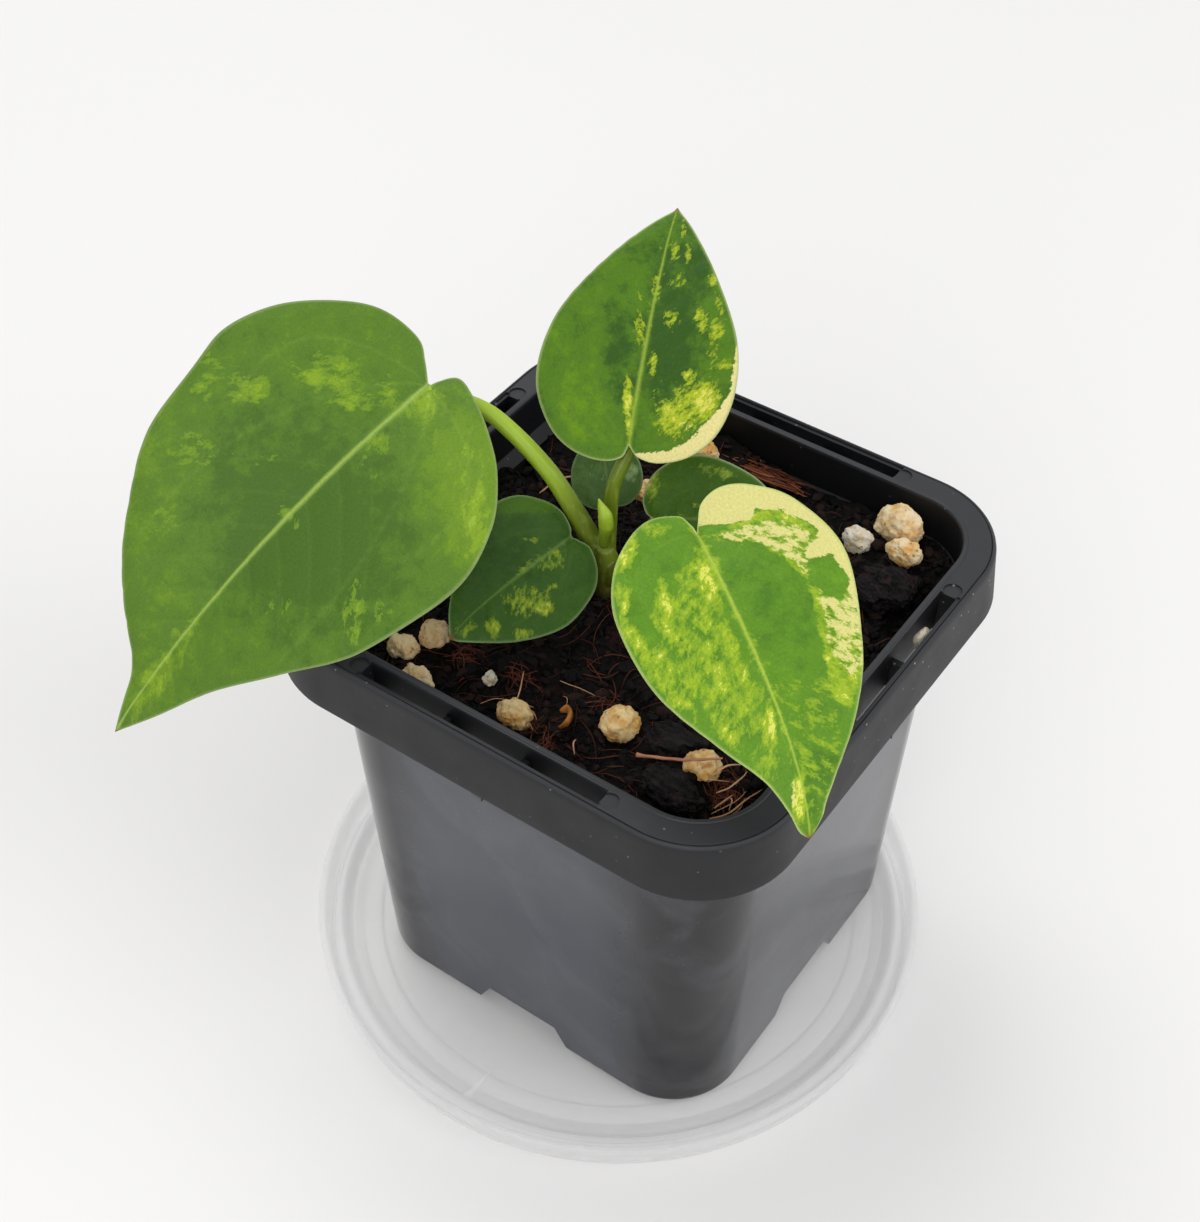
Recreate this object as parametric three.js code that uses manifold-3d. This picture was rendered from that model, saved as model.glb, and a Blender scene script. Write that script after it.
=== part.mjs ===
// A young anthurium with six heart-shaped leaves in a square nursery pot, on a round saucer.
// Millimetres, +Z up. The origin is on the table, under the middle of the pot.
import * as THREE from "three";
import { mergeVertices } from "three/addons/utils/BufferGeometryUtils.js";
import Module from "manifold-3d";

const wasm = await Module();
wasm.setup();

// Driving dimensions
const gap = 0.3; // kept between pieces that touch

const saucer = {
  centre: [-1.9, -3.1],
  sheet: 1.2, // thickness of the floor
  floorRadius: 39.2,
  shelfRise: 0.35, // the pot's corners stand on this shelf
  shelfRadius: 44.2,
  ridge: { radius: 46.2, height: 3.4 },
  groove: { radius: 47.2, height: 3.0 },
  rim: { radius: 49.5, height: 5.6, wall: 1.1 },
};
const potBase = saucer.sheet + saucer.shelfRise + gap;

const pot = {
  height: 75.5,
  foot: { half: 32.1, corner: 11.7, round: 0.9 },
  waist: { half: 34.7, corner: 12.4, below: 8.6 }, // where the body meets its collar
  collar: { half: 36.3, corner: 10.6, below: 7 },
  rim: { half: 40, corner: 14.55, plate: 1.4, round: 0.6 },
  skirt: { half: 40.7, corner: 14.6, drop: 9.8, wall: 1.2 },
  wall: 1.1,
  footHeight: 3.6,
  floor: 1.2,
  slot: { halfLength: 19.3, inner: 36.3, outer: 38.7 },
  // Ribs join the collar to the skirt. The two in a slot lie deep, the two past its ends reach the rim.
  rib: { at: [-6.4, 6.4], endAt: [-19.8, 19.8], thick: 1, recess: 3, endRecess: 0.7, foot: 1.2 },
  thumb: { radius: 2.4, depth: 0.5, at: 20.4 }, // shallow half-moon past each slot's end
  nub: { at: 1, wide: 1.7, drop: 0.7 }, // under the skirt, near the middle of each side
  notch: { bottomHalf: 9.3, topHalf: 6.3, height: 4.6 },
  drainHole: { radius: 4, at: [[0, 0], [15, 15], [-15, 15], [-15, -15], [15, -15]] },
};
const potTop = potBase + pot.height;

const mix = {
  below: 8.2, // mean depth of the surface under the rim
  sideGap: 0.45,
  cells: 30, // of the surface, along each side
  hole: { radius: 2.6, depth: 14 },
};
const mixTop = potTop - mix.below;

const blade = { half: 0.35, rows: 4 };

// Each leaf: where its stalk joins it, the way its midrib leaves there (heading and rise in degrees,
// then a turn about the midrib), how far it arches and curls to its tip (degrees), how its halves fold
// up and droop, how far the tip swings to the right, and its outline as [along, across] from the joint
// to the tip, right half then left half. The stalk's points and radii run from the stem to the joint.
const leaves = {
  leaf_large: {
    joint: [-30.9, -7.6, 99.8], heading: -102, rise: -15.2, turn: -20.7,
    length: 66.9, arch: 42.2, curl: 3.9, fold: 0.215, droop: 0.0019,
    right: [[-1.9, 2.6], [-3.5, 5.8], [-2.6, 11.5], [0.9, 16.4], [6.9, 21.5], [13.9, 23.8],
      [19.8, 23.4], [31, 21.4], [41.5, 16], [50.4, 9], [56.6, 3.5], [61.2, 1.6]],
    left: [[-1.8, -0.6], [-3.6, -2.2], [-3.1, -5.2], [-0.7, -10.9], [3.2, -17], [9.4, -22.4],
      [18, -24.6], [31.3, -21.3], [41.1, -14.9], [50.2, -8.6], [58.9, -4.3]],
    stalk: [[-6.3, -1.2, 74], [-8.9, -1.4, 79.5], [-11.8, -1.8, 84.4], [-14.9, -2.3, 88.8],
      [-20, -2.9, 93.2], [-24.4, -3.5, 95.7], [-28.2, -5, 97]],
    stalkRadii: [1.6, 1.4, 1.25, 1.15, 1.1],
  },
  leaf_upright: {
    joint: [-4.7, 2.5, 95], heading: 113, rise: 40.4, turn: -3.1,
    length: 34.9, arch: 14.5, curl: 1.6, fold: 0.16, droop: 0.0034, tipSwing: 0.5,
    right: [[-1.5, 1.6], [-2, 4.6], [-0.6, 8.8], [3, 12], [9, 13.4], [16, 12.4], [24.8, 8], [31.3, 3.6]],
    left: [[-1.9, -0.9], [-2.6, -3.8], [-1.6, -7.8], [1.2, -11.2], [6.4, -13.8], [12.8, -13.8],
      [19.2, -11.8], [27.4, -6.3], [32.3, -2.3]],
    stalkRadii: [1.2, 1.05, 0.9],
    stalk: [[-5.8, -1.3, 74], [-5.8, -0.8, 79.5], [-5.7, -0.6, 83.2], [-5.7, -0.2, 86.7],
      [-5.5, 0.6, 90]],
  },
  leaf_marbled: {
    joint: [14.7, -10.6, 98.9], heading: -33.1, rise: -8.6, turn: 5.7,
    length: 41.4, arch: 30, curl: 4.8, fold: 0.237, droop: 0.0018, tipSwing: 2,
    right: [[-1.4, 0.2], [-3.2, 1.1], [-3.6, 4.6], [-1.6, 8.2], [3.3, 12.6], [9.9, 14.9], [19, 14],
      [27.8, 8.9], [33.3, 5], [37.5, 3.4], [40.2, 2.9]],
    left: [[-1.5, -0.8], [-4, -2.4], [-4.9, -5.4], [-3.2, -8.9], [1.5, -12.9], [10.9, -15.1], [22.1, -12.2],
      [29.6, -8.2], [35.4, -3.5], [38, -1.3], [40.4, 0.3]],
    stalkRadii: [1.3, 1.15, 1],
    stalk: [[-5.6, -1.5, 72.5], [-3.6, -2.3, 75], [1, -5, 83], [8, -8.6, 92]],
  },
  leaf_low: {
    joint: [-9.2, -4.8, 81.3], heading: -103.1, rise: -7.8, turn: -28.4,
    length: 22.6, arch: 11.2, curl: 0.2, fold: 0.119, droop: 0.0038, tipSwing: -1.2,
    right: [[-0.8, 1.3], [-1.1, 3.8], [0.1, 6.5], [3, 9.3], [7.5, 10.1], [13, 8.4], [19.4, 2.9],
      [21.4, 0.6]],
    left: [[-0.5, -1], [-1, -3.1], [0.6, -6.4], [3.8, -8.6], [9.5, -9.6], [15.6, -7.2], [21.2, -2.8]],
    stalkRadii: [0.98, 0.85, 0.72],
    stalk: [[-6, -1.5, 71.5], [-7.2, -3, 75], [-8.4, -4.2, 78.4]],
  },
  leaf_back: {
    joint: [-3, 6, 79.9], heading: 21.5, rise: 12, turn: 47.4,
    length: 20.5, arch: 12, curl: 0, fold: 0.12, droop: 0.006,
    right: [[-0.9, 1], [-1.2, 3.2], [0.6, 6.6], [4.6, 8.7], [9, 8.7], [14.6, 6], [18.4, 2.2]],
    left: [[-0.9, -1], [-1.2, -3.2], [0.6, -6.6], [4.6, -8.7], [9, -8.7], [14.6, -6], [18.4, -2.2]],
    stalkRadii: [0.92, 0.8, 0.68],
    stalk: [[-5.4, -0.8, 71.5], [-4.6, 0.8, 73], [-4.4, 3, 74.8], [-4, 4.8, 77]],
  },
  leaf_tiny: {
    joint: [-11.4, 8, 76.9], heading: 137.3, rise: 43.8, turn: -11,
    length: 11.2, arch: 6, curl: 0, fold: 0.1, droop: 0.008,
    right: [[-0.5, 0.9], [-0.4, 2.6], [1, 4.4], [3.4, 5.2], [6.4, 4.7], [9.3, 2.6]],
    left: [[-0.5, -0.9], [-0.4, -2.6], [1, -4.4], [3.4, -5.2], [6.4, -4.7], [9.3, -2.6]],
    stalkRadii: [0.7, 0.6, 0.5],
    stalk: [[-6.2, -0.9, 71.5], [-7.8, 1.4, 72.8], [-10, 5.2, 73.6], [-11, 7.4, 74.8]],
  },
};

const stem = {
  points: [[-5.6, -1.2, 61], [-5.7, -1.3, 70], [-5.8, -1.4, 75.6], [-5.8, -1.4, 78.6]],
  radii: [1.8, 2, 2.2, 1.3],
};
const bud = {
  points: [[-5.1, -2.9, 80.6], [-4.7, -3.2, 82.8], [-4.2, -3.5, 85.1], [-4.4, -3.5, 86.9], [-5, -3.4, 88],
    [-5.5, -3.4, 89.2]],
  radii: [0.55, 0.75, 1.05, 1, 0.6, 0.12],
};

// Loose grains of pale perlite and pumice: centre in plan, height over the mix, and half sizes.
const grains = [
  { at: [-21.6, -27.7], lift: 1.6, half: [2.6, 1.9, 1.8] },
  { at: [-19.3, -23.5], lift: 1.6, half: [2.1, 2.1, 2.2] },
  { at: [-17.1, -30.3], lift: 0.9, half: [2.9, 1.6, 1.7] },
  { at: [-9, -24.6], lift: 0.7, half: [0.9, 1.1, 1] },
  { at: [-2.2, -27.7], lift: 0.8, half: [2.6, 2.1, 1.8] },
  { at: [11, -21.9], lift: 1.8, half: [3, 2.9, 2.6] },
  { at: [23.9, -21.6], lift: 0.9, half: [2.7, 2.4, 1.8] },
  { at: [23.9, 31], lift: 3, half: [3.8, 2.9, 3.1] },
  { at: [27.3, 26.3], lift: 2.4, half: [2.9, 2.1, 1.9] },
  { at: [19.7, 26.2], lift: 2, half: [2.4, 2, 2.1] },
  { at: [-9.4, 30], lift: 0.7, half: [2.2, 2, 1.9] },
  { at: [-12.6, 19.2], lift: 0.8, half: [2.5, 2, 1.9] },
];
// One small grain is wedged between the ribs of the right-hand slot in the rim.
const slotGrain = { at: [37.6, 12.1, 74.6], half: [0.95, 1.9, 1.25] };
// Chunks of bark, in the same terms as the grains, with a turn about the vertical.
const barkChunks = [
  { at: [18.9, -18.6], lift: 0.4, half: [4.8, 3.1, 1.8], spin: 25 },
  { at: [22.8, -27.6], lift: 0.7, half: [5.2, 2.8, 2.2], spin: -10 },
  { at: [27.5, 20.1], lift: 1.5, half: [4.8, 3.9, 2.6], spin: 40 },
];
const twig = { points: [[16.2, -25.5, 71.6], [22.4, -23.5, 72.9], [26.5, -20.9, 73.5]], radius: 0.35 };
const coirTuft = { root: [0.6, 32.2], lift: 0.7, strands: 7, length: 9.5, radius: 0.5 };

const colours = {
  pot: 0x2b2c30, saucer: 0xe6e6e6, mix: 0x17110d, grain: 0xe3cfa2, bark: 0x1f1719, twig: 0xa9714a,
  coir: 0x6e3a26, stem: 0x9aa53a, bud: 0xa7c62c, leaf_large: 0x4c7f2b, leaf_upright: 0x4f8a2a,
  leaf_marbled: 0x8fb04a, leaf_low: 0x2c4f26, leaf_back: 0x2e5724, leaf_tiny: 0x4b6f54,
};

const group = new THREE.Group();

// Mesh helpers

function trianglesToGeometry(points, faces) {
  const geometry = new THREE.BufferGeometry();
  geometry.setFromPoints(points);
  geometry.setIndex(faces.flat());
  return geometry;
}

function toSolid(geometry) {
  const bare = new THREE.BufferGeometry();
  bare.setAttribute("position", geometry.getAttribute("position"));
  if (geometry.index) bare.setIndex(geometry.index);
  const merged = mergeVertices(bare, 1e-4);
  return new wasm.Manifold(new wasm.Mesh({
    numProp: 3,
    vertProperties: merged.attributes.position.array,
    triVerts: new Uint32Array(merged.index.array),
  }));
}

function toGeometry(solid) {
  const mesh = solid.getMesh();
  const geometry = new THREE.BufferGeometry();
  geometry.setAttribute("position", new THREE.Float32BufferAttribute(mesh.vertProperties, 3));
  geometry.setIndex([...mesh.triVerts]);
  return geometry;
}

function addPiece(name, geometry, colour, roughness) {
  const material = new THREE.MeshStandardMaterial({ color: colour, roughness, metalness: 0 });
  const mesh = new THREE.Mesh(geometry, material);
  mesh.name = name;
  group.add(mesh);
}

// A closed body through rings of equally many points, wound the same way, with flat ends.
function loft(rings) {
  const count = rings[0].length;
  const points = rings.flat();
  const faces = [];
  for (let level = 0; level + 1 < rings.length; level++)
    for (let i = 0; i < count; i++) {
      const a = level * count + i, b = level * count + ((i + 1) % count);
      faces.push([a, b, b + count], [a, b + count, a + count]);
    }
  const last = (rings.length - 1) * count;
  for (let i = 1; i + 1 < count; i++) {
    faces.push([0, i + 1, i]);
    faces.push([last, last + i, last + i + 1]);
  }
  return trianglesToGeometry(points, faces);
}

// The outline of a square with round corners, as a ring at height z.
function squareRing(half, corner, z, perCorner = 7) {
  const ring = [];
  for (let k = 0; k < 4; k++)
    for (let i = 0; i < perCorner; i++) {
      const angle = (k + i / (perCorner - 1)) * (Math.PI / 2);
      const [sideX, sideY] = [[1, 1], [-1, 1], [-1, -1], [1, -1]][k];
      ring.push(new THREE.Vector3(
        sideX * (half - corner) + corner * Math.cos(angle),
        sideY * (half - corner) + corner * Math.sin(angle), z));
    }
  return ring;
}

function squareLoft(sections) {
  return toSolid(loft(sections.map(([half, corner, z]) => squareRing(half, corner, z))));
}

// A tube through the points, whose radius follows the list of radii.
function taperedTube(points, radii, sides, steps) {
  const curve = new THREE.CatmullRomCurve3(points.map((p) => new THREE.Vector3(...p)), false, "centripetal");
  const frames = curve.computeFrenetFrames(steps, false);
  const rings = [];
  for (let i = 0; i <= steps; i++) {
    const t = i / steps;
    const place = t * (radii.length - 1), k = Math.min(Math.floor(place), radii.length - 2);
    const radius = THREE.MathUtils.lerp(radii[k], radii[k + 1], place - k);
    const centre = curve.getPoint(t);
    const ring = [];
    for (let s = 0; s < sides; s++) {
      const angle = (s / sides) * 2 * Math.PI;
      ring.push(centre.clone()
        .addScaledVector(frames.normals[i], radius * Math.cos(angle))
        .addScaledVector(frames.binormals[i], radius * Math.sin(angle)));
    }
    rings.push(ring);
  }
  return toSolid(loft(rings));
}

function box(sizeX, sizeY, sizeZ, x, y, z) {
  return toSolid(new THREE.BoxGeometry(sizeX, sizeY, sizeZ).translate(x, y, z));
}

function upright(radius, height, x, y, z, sides = 20) {
  const cylinder = new THREE.CylinderGeometry(radius, radius, height, sides);
  return toSolid(cylinder.rotateX(Math.PI / 2).translate(x, y, z));
}

// A repeatable stream of numbers from 0 to 1.
function randomStream(seed) {
  let state = seed;
  return () => {
    state = (state * 1664525 + 1013904223) % 4294967296;
    return state / 4294967296;
  };
}

// Saucer

function makeSaucer() {
  const { sheet, floorRadius, shelfRise, shelfRadius, ridge, groove, rim } = saucer;
  const shelf = sheet + shelfRise;
  const profile = [
    [0, 0], [floorRadius + 5.6, 0], [ridge.radius - 0.2, ridge.height - sheet],
    [groove.radius - 0.1, groove.height - sheet], [rim.radius - rim.wall - 0.3, 1.6],
    [rim.radius - rim.wall - 0.1, 0], [rim.radius, 0], [rim.radius, rim.height - 0.5],
    [rim.radius - 0.5, rim.height], [rim.radius - rim.wall - 0.3, rim.height - 0.3],
    [groove.radius + 0.5, groove.height], [groove.radius - 0.3, groove.height],
    [ridge.radius - 0.2, ridge.height], [ridge.radius - 1, ridge.height - 0.4], [shelfRadius, shelf],
    [floorRadius + 0.5, shelf], [floorRadius, sheet], [0, sheet],
  ].map(([r, z]) => new THREE.Vector2(r, z));
  const [x, y] = saucer.centre;
  const geometry = new THREE.LatheGeometry(profile, 60).rotateX(Math.PI / 2).translate(x, y, 0);
  addPiece("saucer", toGeometry(toSolid(geometry)), colours.saucer, 0.35);
}

// Pot

// The four sides of the pot are alike: a body made for the front is turned to each of them.
function onEachSide(solid) {
  return [0, 90, 180, 270].map((turn) => solid.rotate([0, 0, turn]));
}

function makePot() {
  const { foot, waist, collar, rim, skirt, wall } = pot;
  const top = pot.height;
  const outer = squareLoft([
    [foot.half - foot.round, foot.corner - foot.round, 0], [foot.half, foot.corner, foot.round],
    [waist.half, waist.corner, top - waist.below], [collar.half, collar.corner, top - collar.below],
    [collar.half, collar.corner, top],
  ]);
  const hollow = squareLoft([
    [foot.half - wall, foot.corner - wall, pot.footHeight + pot.floor],
    [waist.half - wall, waist.corner - wall, top - waist.below],
    [collar.half - wall, collar.corner - wall, top - collar.below],
    [collar.half - wall, collar.corner - wall, top + 1],
  ]);
  const under = squareLoft([
    [foot.half - wall - foot.round, foot.corner - wall, -1],
    [foot.half - wall, foot.corner - wall, pot.footHeight],
  ]);
  const band = squareLoft([
    [skirt.half, skirt.corner, top - skirt.drop], [rim.half + 0.05, rim.corner, top - rim.round],
    [rim.half - rim.round, rim.corner - rim.round, top],
  ]);
  const bandHollow = squareLoft([
    [skirt.half - skirt.wall, skirt.corner - skirt.wall, top - skirt.drop - 1],
    [rim.half - skirt.wall, rim.corner - skirt.wall, top - rim.plate],
  ]);
  const mouth = squareLoft([
    [collar.half - wall, collar.corner - wall, top - collar.below],
    [collar.half - wall, collar.corner - wall, top + 1],
  ]);
  let solid = outer.add(band.subtract(bandHollow)).subtract(mouth);

  const { slot, rib, thumb, nub, notch, drainHole } = pot;
  const slotWide = slot.outer - slot.inner, slotMiddle = (slot.outer + slot.inner) / 2;
  const slotCut = box(2 * slot.halfLength, slotWide, 2 * rim.plate + 1, 0, -slotMiddle, top);
  const thumbs = [-1, 1].map((side) =>
    upright(thumb.radius, 2 * thumb.depth, side * thumb.at, -slotMiddle, top));
  for (const cut of [slotCut, ...thumbs].flatMap(onEachSide)) solid = solid.subtract(cut);

  const skirtInside = skirt.half - skirt.wall, overlap = 0.5;
  const makeRib = (x, recess) => {
    const height = skirt.drop - rib.foot - recess;
    return box(rib.thick, skirtInside - collar.half + 2 * overlap, height, x,
      -(skirtInside + collar.half) / 2, top - recess - height / 2);
  };
  const ribs = rib.at.map((x) => makeRib(x, rib.recess));
  const endRibs = rib.endAt.map((x) => makeRib(x, rib.endRecess));
  const nubSolid = box(nub.wide, skirt.wall, nub.drop + overlap, nub.at,
    -(skirtInside + skirt.wall / 2), top - skirt.drop - (nub.drop - overlap) / 2);
  for (const added of [...ribs, ...endRibs, nubSolid].flatMap(onEachSide)) solid = solid.add(added);
  solid = solid.subtract(hollow).subtract(under);

  const below = 1; // the cuts start this far under the foot
  const notchShape = new THREE.Shape([
    [-notch.bottomHalf, -below], [notch.bottomHalf, -below], [notch.topHalf, notch.height],
    [-notch.topHalf, notch.height],
  ].map(([x, z]) => new THREE.Vector2(x, z)));
  const notchCut = toSolid(new THREE.ExtrudeGeometry(notchShape, { depth: 3 * wall, bevelEnabled: false })
    .rotateX(Math.PI / 2).translate(0, -(foot.half - 1.3 * wall), 0));
  for (const cut of onEachSide(notchCut)) solid = solid.subtract(cut);
  for (const [x, y] of drainHole.at)
    solid = solid.subtract(upright(drainHole.radius, 6, x, y, pot.footHeight + pot.floor / 2, 16));
  addPiece("pot", toGeometry(solid.translate([0, 0, potBase])), colours.pot, 0.4);
}

// Growing mix

// Height of the mix over its mean level: slow swells, crumbs, and banks in the back right corner,
// against the back wall and round the stem.
function mixRelief(x, y) {
  const swell = 0.7 * Math.sin(0.16 * x + 1.3) * Math.cos(0.13 * y - 0.4)
    + 0.35 * Math.sin(0.31 * x - 0.27 * y);
  const crumbs = 0.28 * Math.sin(0.83 * x + 0.4 * y) * Math.cos(0.71 * y - 0.5 * x + 1);
  const cornerBank = 1.6 * Math.exp(-((x - 25) ** 2 + (y - 27) ** 2) / 160);
  const wallBank = 3.2 * Math.exp(-((x + 8) ** 2) / 258 - ((y - 36) ** 2) / 60);
  const mound = 1.3 * Math.exp(-((x + 5) ** 2 + (y + 2) ** 2) / 60);
  return swell + crumbs + cornerBank + wallBank + mound;
}

function makeMix() {
  const { foot, waist, collar, wall } = pot;
  const shrink = wall + mix.sideGap;
  const bottom = potBase + pot.footHeight + pot.floor + gap;
  const inside = squareLoft([
    [foot.half - shrink, foot.corner - shrink, bottom],
    [waist.half - shrink, waist.corner - shrink, potTop - waist.below],
    [collar.half - shrink, collar.corner - shrink, potTop - collar.below],
    [collar.half - shrink, collar.corner - shrink, potTop],
  ]);
  const reach = collar.half + 1;
  const under = [], over = [], faces = [];
  const row = mix.cells + 1;
  for (let j = 0; j < row; j++)
    for (let i = 0; i < row; i++) {
      const x = -reach + (2 * reach * i) / mix.cells, y = -reach + (2 * reach * j) / mix.cells;
      over.push(new THREE.Vector3(x, y, mixTop + mixRelief(x, y)));
      under.push(new THREE.Vector3(x, y, bottom - 2));
    }
  const lower = row * row;
  for (let j = 0; j < mix.cells; j++)
    for (let i = 0; i < mix.cells; i++) {
      const a = j * row + i, b = a + 1, c = a + row + 1, d = a + row;
      faces.push([a, b, c], [a, c, d], [lower + a, lower + c, lower + b], [lower + a, lower + d, lower + c]);
    }
  for (let i = 0; i < mix.cells; i++) {
    const far = mix.cells * row;
    const edges = [[i, i + 1], [far + i + 1, far + i], [(i + 1) * row, i * row],
      [i * row + mix.cells, (i + 1) * row + mix.cells]];
    for (const [p, q] of edges) faces.push([p, lower + p, lower + q], [p, lower + q, q]);
  }
  let solid = toSolid(trianglesToGeometry([...over, ...under], faces)).intersect(inside);
  const [stemX, stemY] = stem.points[0];
  solid = solid.subtract(upright(mix.hole.radius, 2 * mix.hole.depth, stemX, stemY, mixTop, 14));
  for (const seat of looseSeats()) solid = solid.subtract(seat);
  addPiece("growing_mix", toGeometry(solid), colours.mix, 0.95);
}

// Things that lie loose on the mix. Each lies in a shallow seat that is one gap larger than itself.

function lump(half, seed, roughness, grow = 0) {
  const random = randomStream(seed);
  const ball = new THREE.IcosahedronGeometry(1, 1);
  ball.deleteAttribute("normal");
  ball.deleteAttribute("uv");
  const merged = mergeVertices(ball, 1e-4);
  const place = merged.attributes.position;
  for (let i = 0; i < place.count; i++) {
    const swell = 1 - roughness / 2 + roughness * random();
    place.setXYZ(i, place.getX(i) * (half[0] * swell + grow), place.getY(i) * (half[1] * swell + grow),
      place.getZ(i) * (half[2] * swell + grow));
  }
  return merged;
}

function placeLump(item, seed, roughness, grow) {
  const [x, y] = item.at;
  const z = mixTop + mixRelief(x, y) + item.lift;
  const spin = THREE.MathUtils.degToRad(item.spin ?? 0);
  return toSolid(lump(item.half, seed, roughness, grow).rotateZ(spin).translate(x, y, z));
}

const grainRoughness = 0.26, barkRoughness = 0.34; // how far a lump's corners stray from an ellipsoid
const grainSeed = 100, barkSeed = 200;

function looseSeats() {
  const seatGrow = gap * 1.15;
  return [
    ...grains.map((item, i) => placeLump(item, grainSeed + i, grainRoughness, seatGrow)),
    ...barkChunks.map((item, i) => placeLump(item, barkSeed + i, barkRoughness, seatGrow)),
    makeTuftSolid(seatGrow),
  ];
}

function makeTuftSolid(grow = 0) {
  const random = randomStream(31);
  const [rootX, rootY] = coirTuft.root;
  const z = mixTop + mixRelief(rootX, rootY) + coirTuft.lift;
  let solid = null;
  for (let k = 0; k < coirTuft.strands; k++) {
    const heading = -0.35 + 0.9 * (k / (coirTuft.strands - 1)) + 0.1 * random();
    const side = k % 2 ? 1 : -1;
    const reach = coirTuft.length * (0.6 + 0.4 * random()) + grow;
    const start = [rootX - (4 + grow) * side, rootY - 1.4 + 0.5 * k, z - 0.3];
    const middle = [rootX, rootY - 0.6 + 0.25 * k, z + 0.3 + 0.5 * random()];
    const end = [rootX + side * reach * Math.cos(heading), rootY + 0.4 + 1.4 * random(), z + 0.5 + random()];
    const radii = [0.6, 1, 0.5].map((share) => share * coirTuft.radius + grow);
    const strand = taperedTube([start, middle, end], radii, 5, 5);
    solid = solid ? solid.add(strand) : strand;
  }
  return solid;
}

function makeLooseThings() {
  grains.forEach((item, i) => {
    const grain = placeLump(item, grainSeed + i, grainRoughness, 0);
    addPiece("pumice_grain_" + (i + 1), toGeometry(grain), colours.grain, 0.9);
  });
  const wedged = lump(slotGrain.half, grainSeed + 50, grainRoughness).translate(...slotGrain.at);
  addPiece("slot_grain", wedged, colours.grain, 0.9);
  barkChunks.forEach((item, i) => {
    const chunk = placeLump(item, barkSeed + i, barkRoughness, 0);
    addPiece("bark_chunk_" + (i + 1), toGeometry(chunk), colours.bark, 0.95);
  });
  addPiece("coir_tuft", toGeometry(makeTuftSolid()), colours.coir, 0.9);
  const twigSolid = taperedTube(twig.points, [twig.radius, twig.radius * 0.7], 6, 6);
  addPiece("twig", toGeometry(twigSolid), colours.twig, 0.8);
}

// Plant

// The three directions at a leaf's joint: along its midrib, across to its right, and out of its face.
function leafFrame(leaf) {
  const heading = THREE.MathUtils.degToRad(leaf.heading), rise = THREE.MathUtils.degToRad(leaf.rise);
  const along = new THREE.Vector3(
    Math.cos(heading) * Math.cos(rise), Math.sin(heading) * Math.cos(rise), Math.sin(rise));
  const up = new THREE.Vector3(0, 0, 1).addScaledVector(along, -along.z).normalize();
  const out = up.applyAxisAngle(along, THREE.MathUtils.degToRad(leaf.turn));
  const across = new THREE.Vector3().crossVectors(along, out);
  return { along, across, out };
}

// How far the midrib has swung to the right where it is a along; it stays straight almost to the tip.
function midribSwing(leaf, a) {
  return (leaf.tipSwing ?? 0) * Math.max(a / leaf.length, 0) ** 6;
}

// The point of the leaf's middle surface that lies a along and b across when the leaf is laid flat,
// raised by lift out of its face.
function leafPoint(leaf, frame, a, b, lift) {
  const arch = THREE.MathUtils.degToRad(leaf.arch), curl = THREE.MathUtils.degToRad(leaf.curl);
  const bend = (s) => arch * (s / leaf.length) + curl * (s / leaf.length) ** 2;
  const steps = 12;
  let run = 0, fall = 0;
  for (let i = 0; i < steps; i++) {
    const angle = bend((a * (i + 0.5)) / steps);
    run += (a * Math.cos(angle)) / steps;
    fall += (a * Math.sin(angle)) / steps;
  }
  const keel = 1.2; // softens the fold at the midrib
  const fromMidrib = b - midribSwing(leaf, a);
  const height = leaf.fold * (Math.hypot(fromMidrib, keel) - keel) - leaf.droop * fromMidrib ** 2 + lift;
  const angle = bend(a);
  return new THREE.Vector3(...leaf.joint)
    .addScaledVector(frame.along, run + height * Math.sin(angle))
    .addScaledVector(frame.out, -fall + height * Math.cos(angle))
    .addScaledVector(frame.across, b);
}

// Points along one half of the outline, from the joint round the lobe to the tip, closest at the joint.
function halfOutline(leaf, half, count) {
  const ends = [[0, 0], ...half, [leaf.length, leaf.tipSwing ?? 0]];
  const curve = new THREE.SplineCurve(ends.map(([a, b]) => new THREE.Vector2(a, b)));
  return Array.from({ length: count + 1 }, (_, i) => curve.getPointAt((i / count) ** 1.25));
}

function makeBlade(leaf) {
  const frame = leafFrame(leaf);
  const points = [], faces = [];
  const ribs = Math.round(10 + leaf.length / 4.5);
  for (const half of [leaf.right, leaf.left]) {
    const outline = halfOutline(leaf, half, ribs);
    const grid = [];
    for (let i = 0; i <= ribs; i++) {
      const rootAlong = leaf.length * (i / ribs) ** 1.8, rootAcross = midribSwing(leaf, rootAlong);
      const rib = [];
      for (let j = 0; j <= blade.rows; j++) {
        const t = j / blade.rows;
        const a = THREE.MathUtils.lerp(rootAlong, outline[i].x, t);
        const b = THREE.MathUtils.lerp(rootAcross, outline[i].y, t);
        rib.push(points.length);
        points.push(leafPoint(leaf, frame, a, b, blade.half), leafPoint(leaf, frame, a, b, -blade.half));
      }
      grid.push(rib);
    }
    const flip = half === leaf.left;
    const addFace = (p, q, r) => faces.push(flip ? [p, r, q] : [p, q, r]);
    for (let i = 0; i < ribs; i++) {
      for (let j = 0; j < blade.rows; j++) {
        const p = grid[i][j], q = grid[i + 1][j], r = grid[i + 1][j + 1], s = grid[i][j + 1];
        addFace(p, r, q);
        addFace(p, s, r);
        addFace(p + 1, q + 1, r + 1);
        addFace(p + 1, r + 1, s + 1);
      }
      const edge = grid[i][blade.rows], next = grid[i + 1][blade.rows];
      addFace(edge, edge + 1, next + 1);
      addFace(edge, next + 1, next);
    }
  }
  return dropSlivers(trianglesToGeometry(points, faces));
}

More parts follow.
